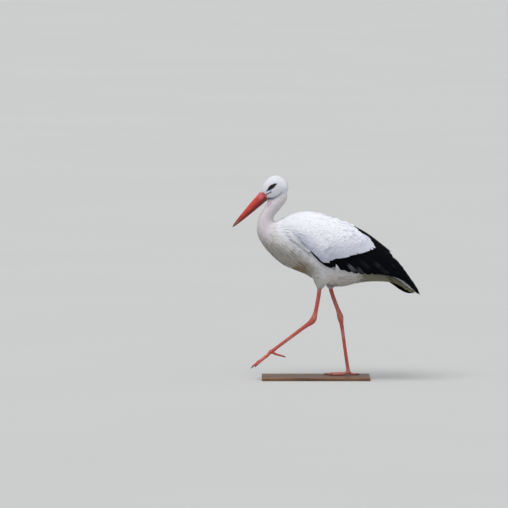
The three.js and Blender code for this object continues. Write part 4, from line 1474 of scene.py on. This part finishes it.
def flight_feathers(scene, side_name, guide):
    side, plumage = SIDES[side_name], scene.stork_plumage
    rng = np.random.default_rng(71 + side)
    rows, shares = len(FLIGHT_TIP), np.array(FLIGHT_TIP)[:, 0]
    # each feather: how it is put on the cloak, its points, depth, half width, and 1 if it is silvery
    feathers = [
        (wing_places, points, 7.2 - 0.45 * k, 11.0 + 0.3 * k, 0)
        for k, points in enumerate(RIGHT_PRIMARIES if side > 0 else PRIMARIES)
    ]
    for k, tip in enumerate(SECONDARY_TIPS):
        share = k / (len(SECONDARY_TIPS) - 1)
        root = np.array(SECONDARY_ROOTS[0]) * (1 - share) + np.array(SECONDARY_ROOTS[1]) * share
        middle = (root + np.array(tip)) / 2 + np.array((4, 7 + 4 * share))
        feathers.append((wing_places, [root, middle, tip], 4.0 - 0.16 * k, 12.5, 1 - k % 2))
    feathers += [(wing_places, points, 3.0 - 0.5 * k, 8.5, 0) for k, points in enumerate(LEADING)]
    feathers += [
        (back_places, points, 1.4 - 0.4 * k, 13.5, 0) for k, points in enumerate(reversed(TERTIALS))
    ]
    buried = 4.0 * (1 - smoothstep(shares, 0.0, 0.4))[:, None]
    laid = [
        put(along_curve(points, shares), side, guide, depth + buried)
        for put, points, depth, _, _ in feathers
    ]
    spine, facing = (np.array(rows_of) for rows_of in zip(*laid))
    halves, silver = (np.array([feather[k] for feather in feathers]) for k in (3, 4))
    for _ in range(2):
        spine[:, 1:-1] = (spine[:, :-2] + 2 * spine[:, 1:-1] + spine[:, 2:]) / 4
        facing[:, 1:-1] = unit(facing[:, :-2] + 2 * facing[:, 1:-1] + facing[:, 2:])
    count = len(spine)
    black = np.array(plumage.flight_black)
    base = np.tile(black, (count, 1)) * (1 + rng.uniform(-0.25, 0.35, (count, 1)))
    tint = np.tile(base[:, None, None, :], (1, rows, len(STIFF), 1))
    outer = np.array([abs(u) > 0.9 and u * side > 0 for u, _ in STIFF])
    weight = silver[:, None, None] * smoothstep(shares, 0.55, 0.85)[None, :, None] * outer[None, None]
    tint = mix(tint, np.array(plumage.silver), weight * 0.25)
    x, z = spine[..., 0] / MM, spine[..., 2] / MM
    # silvery grey of the outer webs, with painted highlights where the gloss catches the light
    for path, strength in SILVER_AND_GLOSS_STREAKS:
        gap, _ = distance_to_path(x, z, path)
        streak = smoothstep(-gap, -7, -2)[:, :, None] * np.ones(len(STIFF))
        tint = mix(tint, np.array(plumage.silver), streak * strength)
    inside = np.minimum(z - level_of(COVERT_EDGE, x), level_of(BACK_EDGE, x) - z)
    hidden = smoothstep(inside, 16, 30) * (x > -60)
    tint = mix(tint, np.array(plumage.upper_white) * 0.8, hidden[:, :, None] * np.ones(len(STIFF)))
    lift = np.zeros((count, rows))
    obj = feather_piece(
        f"flight_{side_name}", spine, facing, halves * MM, FLIGHT_TIP, STIFF,
        np.full(count, 0.9 * MM), lift, tint, None,
    )
    finish_piece(obj, black_feathers(), [f"wing_{side_name}"])


# ---------------------------------------------------------------- tail
TAIL = [  # x, level and half width
    (150, 428, 24), (197, 409, 33), (234, 392, 38), (271, 373, 41), (302, 352, 41), (326, 334, 38),
    (332, 330, 30),
]
TAIL_ARCH = 14


def tail_place(run, across, sink=0.0):
    """A point of the tail's arch: run 0 to 1 towards the tips, across -1 to 1, sunk by sink mm."""
    stations = smooth_curve(TAIL, 60)
    x, z, half = (np.interp(run, np.linspace(0, 1, 60), stations[:, k]) for k in range(3))
    arch = TAIL_ARCH * np.minimum(1, 0.4 + run)
    return np.stack([x, half * across, z - arch * across**2 - sink], -1)


def build_tail(scene):
    plumage = scene.stork_plumage
    rng = np.random.default_rng(81)
    rows, shares = len(FLIGHT_TIP), np.array(FLIGHT_TIP)[:, 0]
    count = 12
    share = np.linspace(-1, 1, count)
    spines, facings = [], []
    for side in share[np.argsort(-np.abs(share))]:
        run = shares * (0.95 - 0.03 * abs(side))
        across = side * (0.82 - 0.05 * (1 - run))
        spines.append(tail_place(run, across, sink=1.2 - 9.0 * smoothstep(abs(side), 0.5, 1.0)) * MM)
        tilt = 2 * TAIL_ARCH * np.minimum(1, 0.4 + run) * across / np.interp(abs(side), [0.5, 1], [40, 18])
        facings.append(unit(np.stack([np.full(rows, 0.5), tilt, np.full(rows, 0.85)], -1)))
    tint = np.tile(np.array(plumage.upper_white), (count, 1)) * (1 + rng.normal(0, 0.02, (count, 1)))
    # painted light: the tail feathers are whiter than the coat, to make up for the wing's shadow on them
    tint = np.minimum(tint * 1.2, 0.97)
    obj = feather_piece(
        "tail_feathers", np.array(spines), np.array(facings), np.full(count, 7.5 * MM), FLIGHT_TIP, STIFF,
        np.full(count, 0.8 * MM), np.zeros((count, rows)), tint[:, None, None, :], None,
    )
    finish_piece(obj, white_feathers(), ["tail"])

    guide = tail_guide()
    places, normals, uv = scatter(
        guide, lambda p: np.full(len(p), 4.6), lambda p: (p[:, 0] > 234) & (p[:, 0] < 302), 83,
    )
    below = normals[:, 2] < 0.1
    free = (normals[:, 0] > -0.5) & ((places[:, 0] < 0.262) | below)
    low = lambda p: smoothstep(p[:, 0], 225, 300)

    def tail_colour(p, rng):
        # painted shade: feathers deep below the tail's top take the olive painted shade and green reflection
        olive = np.tile(np.array(plumage.tail_under_shade), (len(p), 1))
        depth = level_of([(x, z) for x, z, _ in TAIL], p[:, 0]) - p[:, 2]
        white = np.tile(np.array(plumage.upper_white) * 0.95, (len(p), 1))
        upper = mix(white, coat_colour(p, plumage), smoothstep(depth, 4, 10))
        return varied(mix(upper, olive, smoothstep(depth, 11, 18)), rng, 0.04)

    coat_piece(
        "coat_tail", guide, (places[free], normals[free], uv[free]),
        lambda p: 36 - 14 * low(p), lambda p: np.full(len(p), 6.5), LANCE, SLIM,
        lambda p: 2.2 - 1.1 * low(p), 84, tail_colour, 0.22, stray=0.07,
    )


# ---------------------------------------------------------------- bill
BILL = {
    "length": 166, "half_depth": 20.4, "half_width": 13.6, "taper": 0.6, "width_taper": 0.8, "upper": 0.56,
    "root": (-231.4, 680.4), "drop": 44.9,
}
BILL_EASE, BILL_END = 1.25, 0.995  # its steps close up towards the tip and stop just short of it


def bill_section(t):
    """Half width, top and bottom of the bill, in mm, at a share t of its length."""
    depth = BILL["half_depth"] * (1 - t) ** BILL["taper"]
    mouth = BILL["half_depth"] * (1 - 2 * BILL["upper"]) * (1 - t)
    width = max(BILL["half_width"] * (1 - t) ** BILL["width_taper"], 0.6)
    return width, mouth + 2 * depth * BILL["upper"], mouth - 2 * depth * (1 - BILL["upper"])


def bill_half(name, part):
    """A circle drawn out towards the tip, cut along the line of the mouth."""
    sides, steps = 28, 22
    width, top, bottom = bill_section(0)
    select_nothing()
    bpy.ops.mesh.primitive_circle_add(
        vertices=sides, radius=1.0, fill_type="NGON", rotation=(0, -math.pi / 2, 0), location=(0, 0, 0)
    )
    obj = new_primitive(name)
    edit_mesh(obj)
    bpy.ops.transform.resize(value=(1, width * MM, (top - bottom) / 2 * MM), center_override=(0, 0, 0))
    bpy.ops.transform.translate(value=(0, 0, (top + bottom) / 2 * MM))
    last = 0
    for step in range(1, steps + 1):
        share = min(1 - (1 - step / steps) ** BILL_EASE, BILL_END)
        before = (width, top, bottom)
        width, top, bottom = bill_section(share)
        x = -share * BILL["length"] * MM
        lift = ((top + bottom) - (before[1] + before[2])) / 2 * MM
        bpy.ops.mesh.extrude_region_move(TRANSFORM_OT_translate={"value": (x - last, 0, lift)})
        grow = (1, width / before[0], (top - bottom) / (before[1] - before[2]))
        bpy.ops.transform.resize(value=grow, center_override=(x, 0, (top + bottom) / 2 * MM))
        last = x
    bpy.ops.mesh.select_all(action="SELECT")
    mouth = BILL["half_depth"] * (1 - 2 * BILL["upper"]) * MM
    slope = Vector((-mouth, 0, BILL["length"] * MM)).normalized()
    bpy.ops.mesh.bisect(
        plane_co=(0, 0, mouth + part * 0.0002), plane_no=tuple(slope), use_fill=True,
        clear_inner=part > 0, clear_outer=part < 0,
    )
    bpy.ops.mesh.select_all(action="SELECT")
    bpy.ops.mesh.normals_make_consistent(inside=False)
    bpy.ops.object.mode_set(mode="OBJECT")
    return obj


def open_nostrils(obj):
    """A narrow slit on each side, near the feathers, pressed into the upper half."""
    for side in SIDES.values():
        edit_mesh(obj, "DESELECT")
        mesh = bmesh.from_edit_mesh(obj.data)
        for x in (-21, -28, -34):
            slit = Vector((x * MM, side * 10.2 * MM, 8.4 * MM))
            face = min(mesh.faces, key=lambda f: (f.calc_center_median() - slit).length)
            face.select = True
        bmesh.update_edit_mesh(obj.data)
        bpy.ops.mesh.inset(thickness=0.0011, depth=0)
        bpy.ops.mesh.inset(thickness=0.0004, depth=-0.0018)
        bpy.ops.object.mode_set(mode="OBJECT")


def build_bill(scene):
    look = bill_look(scene.stork_bare)
    for name, part in (("bill_upper", 1), ("bill_lower", -1)):
        obj = bill_half(f"horn_{name}", part)
        if part > 0:
            open_nostrils(obj)
        apply_modifier(
            obj, "BEVEL", width=0.7 * MM, segments=2, limit_method="ANGLE", angle_limit=math.radians(40)
        )
        apply_modifier(obj, "SUBSURF", levels=1, render_levels=1)
        places = vertex_places(obj.data)
        turn = Matrix.Rotation(math.radians(-BILL["drop"]), 3, "Y")
        places = places @ np.array(turn).T + np.array((BILL["root"][0], 0, BILL["root"][1])) * MM
        obj.data.vertices.foreach_set("co", places.ravel())
        select_only(obj)
        bpy.ops.object.shade_smooth_by_angle(angle=math.radians(35))
        finish_piece(obj, look, [name])


# ---------------------------------------------------------------- eyes, claws, stand
def build_eyes(scene):
    look = eye_look(scene.stork_bare)
    for name, side in SIDES.items():
        select_nothing()
        place = (EYE["x"] * MM, side * EYE["y"] * MM, EYE["z"] * MM)
        bpy.ops.mesh.primitive_uv_sphere_add(
            segments=48, ring_count=24, radius=EYE["radius"] * MM, location=place,
            rotation=(math.pi / 2, 0, 0),
        )
        obj = new_primitive(f"eyeball_{name}")
        bpy.ops.object.shade_smooth()
        finish_piece(obj, look, [f"eye_{name}"])


def build_claws(scene):
    look = claw_look(scene.stork_bare)
    toes = ("inner", "middle", "outer", "hind")
    for side in SIDES:
        names = [f"claw_{side}_{toe}" for toe in toes]
        obj = joined_copy(names, f"claws_{side}")
        apply_modifier(obj, "SUBSURF", levels=2, render_levels=2)
        select_only(obj)
        bpy.ops.object.shade_smooth()
        obj.name = obj.data.name = f"claws_{side}"
        finish_piece(obj, look, names)


def build_stand(scene):
    """A plate with round corners and a softened top edge."""
    stand = scene.stork_stand
    low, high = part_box("stand_base")
    centre = ((low[0] + high[0]) / 2, (low[1] + high[1]) / 2, stand.thickness / 2)
    select_nothing()
    size = (stand.length, stand.width, stand.thickness)
    bpy.ops.mesh.primitive_cube_add(size=1, location=centre, scale=size)
    obj = new_primitive("stand_plate")
    bpy.ops.object.mode_set(mode="EDIT")
    for upright, width, segments in ((True, stand.corner, 14), (False, 0.003, 4)):
        bpy.ops.mesh.select_all(action="DESELECT")
        mesh = bmesh.from_edit_mesh(obj.data)
        for edge in mesh.edges:
            a, b = (v.co for v in edge.verts)
            vertical = abs(a.z - b.z) > stand.thickness * 0.9
            faces = edge.link_faces
            rim = len(faces) == 2 and abs(abs(faces[0].normal.z) - abs(faces[1].normal.z)) > 0.9
            edge.select = vertical if upright else rim
        bmesh.update_edit_mesh(obj.data)
        bpy.ops.mesh.bevel(offset=width, segments=segments, affect="EDGES")
    bpy.ops.object.mode_set(mode="OBJECT")
    bpy.ops.object.shade_smooth_by_angle(angle=math.radians(40))
    finish_piece(obj, wood_look(stand), ["stand_base"])


# ---------------------------------------------------------------- stage
AIM = Vector((-0.2688, 0.0, 0.464))
ELEVATION = math.radians(4)
SENSOR = 36.0
FLOOR_SIZE = 600
SKY_COLOUR = (0.86, 0.92, 1.0, 1)
WARM_LIGHT = (1.0, 0.985, 0.96)


def sun_lamp(scene, name, energy, spread, turn, colour=(1, 1, 1)):
    light = bpy.data.lights.new(name, "SUN")
    light.energy = energy
    light.angle = math.radians(spread)
    light.color = colour
    lamp = bpy.data.objects.new(name, light)
    lamp.rotation_euler = turn
    scene.collection.objects.link(lamp)


def build_stage(scene):
    stage = scene.stork_stage
    select_nothing()
    bpy.ops.mesh.primitive_plane_add(size=FLOOR_SIZE, location=(0, 0, 0))
    floor = bpy.context.active_object
    floor.name = floor.data.name = "studio_floor"
    floor.data.materials.append(floor_look(stage))

    data = bpy.data.cameras.new("studio_camera")
    data.sensor_width = SENSOR
    data.lens = SENSOR * stage.distance / stage.frame_width
    data.clip_start, data.clip_end = 0.5, 900
    camera = bpy.data.objects.new("studio_camera", data)
    back = Vector((0, -math.cos(ELEVATION), math.sin(ELEVATION)))
    camera.location = AIM + back * stage.distance
    camera.rotation_euler = (math.pi / 2 - ELEVATION, 0, 0)
    scene.collection.objects.link(camera)
    scene.camera = camera

    above = (math.radians(17), math.radians(-15), 0)
    sun_lamp(scene, "overhead", stage.sun, 50, above, WARM_LIGHT)
    from_tail = Vector((0.80, -0.45, 0.30)).to_track_quat("Z", "Y").to_euler()
    sun_lamp(scene, "side_fill", stage.side, 70, from_tail)

    world = bpy.data.worlds.new("studio")
    world.use_nodes = True
    background = world.node_tree.nodes["Background"]
    background.inputs["Color"].default_value = SKY_COLOUR
    background.inputs["Strength"].default_value = stage.sky
    scene.world = world
    scene.view_settings.view_transform = "Standard"


# ---------------------------------------------------------------- operators
class StageOperator(Operator):
    """Lay the pale floor, the soft light and the camera"""

    bl_idname = "stork.stage"
    bl_label = "Stage"

    def execute(self, context):
        build_stage(context.scene)
        return {"FINISHED"}


class SkinOperator(Operator):
    """Make one skin from the flesh of the frame, with lids and scaly legs"""

    bl_idname = "stork.skin"
    bl_label = "Skin"

    def execute(self, context):
        build_skin(context.scene.stork_plumage, context.scene.stork_bare)
        return {"FINISHED"}


class HeadCoatOperator(Operator):
    """Cover the head with its smallest feathers"""

    bl_idname = "stork.head_coat"
    bl_label = "Head feathers"

    def execute(self, context):
        build_head_coat(context.scene)
        return {"FINISHED"}


class NeckCoatOperator(Operator):
    """Cover the neck with slim feathers"""

    bl_idname = "stork.neck_coat"
    bl_label = "Neck feathers"

    def execute(self, context):
        build_neck_coat(context.scene)
        return {"FINISHED"}


class BodyCoatOperator(Operator):
    """Cover breast, belly and thighs"""

    bl_idname = "stork.body_coat"
    bl_label = "Body feathers"

    def execute(self, context):
        build_body_coat(context.scene)
        return {"FINISHED"}


class WingOperator(Operator):
    """Lay the flight feathers and white coverts of both folded wings"""

    bl_idname = "stork.wings"
    bl_label = "Wings"

    def execute(self, context):
        guide = cloak_guide()
        for side_name in SIDES:
            flight_feathers(context.scene, side_name, guide)
            wing_coverts(context.scene, side_name, guide)
            edge_coverts(context.scene, side_name, guide)
            shoulder_plumes(context.scene, side_name, guide)
            side_tuft(context.scene, side_name, guide)
        return {"FINISHED"}


class TailOperator(Operator):
    """Lay the tail feathers and their coverts"""

    bl_idname = "stork.tail"
    bl_label = "Tail"

    def execute(self, context):
        build_tail(context.scene)
        return {"FINISHED"}


class BillOperator(Operator):
    """Draw out the two halves of the bill"""

    bl_idname = "stork.bill"
    bl_label = "Bill"

    def execute(self, context):
        build_bill(context.scene)
        return {"FINISHED"}


class EyeOperator(Operator):
    """Set the two eyes"""

    bl_idname = "stork.eyes"
    bl_label = "Eyes"

    def execute(self, context):
        build_eyes(context.scene)
        return {"FINISHED"}


class ClawOperator(Operator):
    """Round off the claws"""

    bl_idname = "stork.claws"
    bl_label = "Claws"

    def execute(self, context):
        build_claws(context.scene)
        return {"FINISHED"}


class StandOperator(Operator):
    """Make the base plate"""

    bl_idname = "stork.stand"
    bl_label = "Stand"

    def execute(self, context):
        build_stand(context.scene)
        return {"FINISHED"}


STEPS = (
    StageOperator, SkinOperator, HeadCoatOperator, NeckCoatOperator, BodyCoatOperator, WingOperator,
    TailOperator, BillOperator, EyeOperator, ClawOperator, StandOperator,
)
SETTINGS = {
    "stork_plumage": PlumageSettings,
    "stork_bare": BareSettings,
    "stork_stage": StageSettings,
    "stork_stand": StandSettings,
}


class StorkPanel(Panel):
    """Sizes, colours and steps of the stork"""

    bl_idname = "VIEW3D_PT_stork"
    bl_label = "White stork"
    bl_space_type = "VIEW_3D"
    bl_region_type = "UI"
    bl_category = "Stork"

    def draw(self, context):
        for name, group in SETTINGS.items():
            box = self.layout.box()
            for key in group.__annotations__:
                box.prop(getattr(context.scene, name), key)
        for step in STEPS:
            self.layout.operator(step.bl_idname)


def register():
    for item in (*SETTINGS.values(), *STEPS, StorkPanel):
        bpy.utils.register_class(item)
    for name, group in SETTINGS.items():
        setattr(bpy.types.Scene, name, PointerProperty(type=group))


def unregister():
    for name in SETTINGS:
        delattr(bpy.types.Scene, name)
    for item in reversed((*SETTINGS.values(), *STEPS, StorkPanel)):
        bpy.utils.unregister_class(item)


def main():
    register()
    for step in STEPS:
        group, name = step.bl_idname.split(".")
        getattr(getattr(bpy.ops, group), name)()


if __name__ == "__main__":
    main()
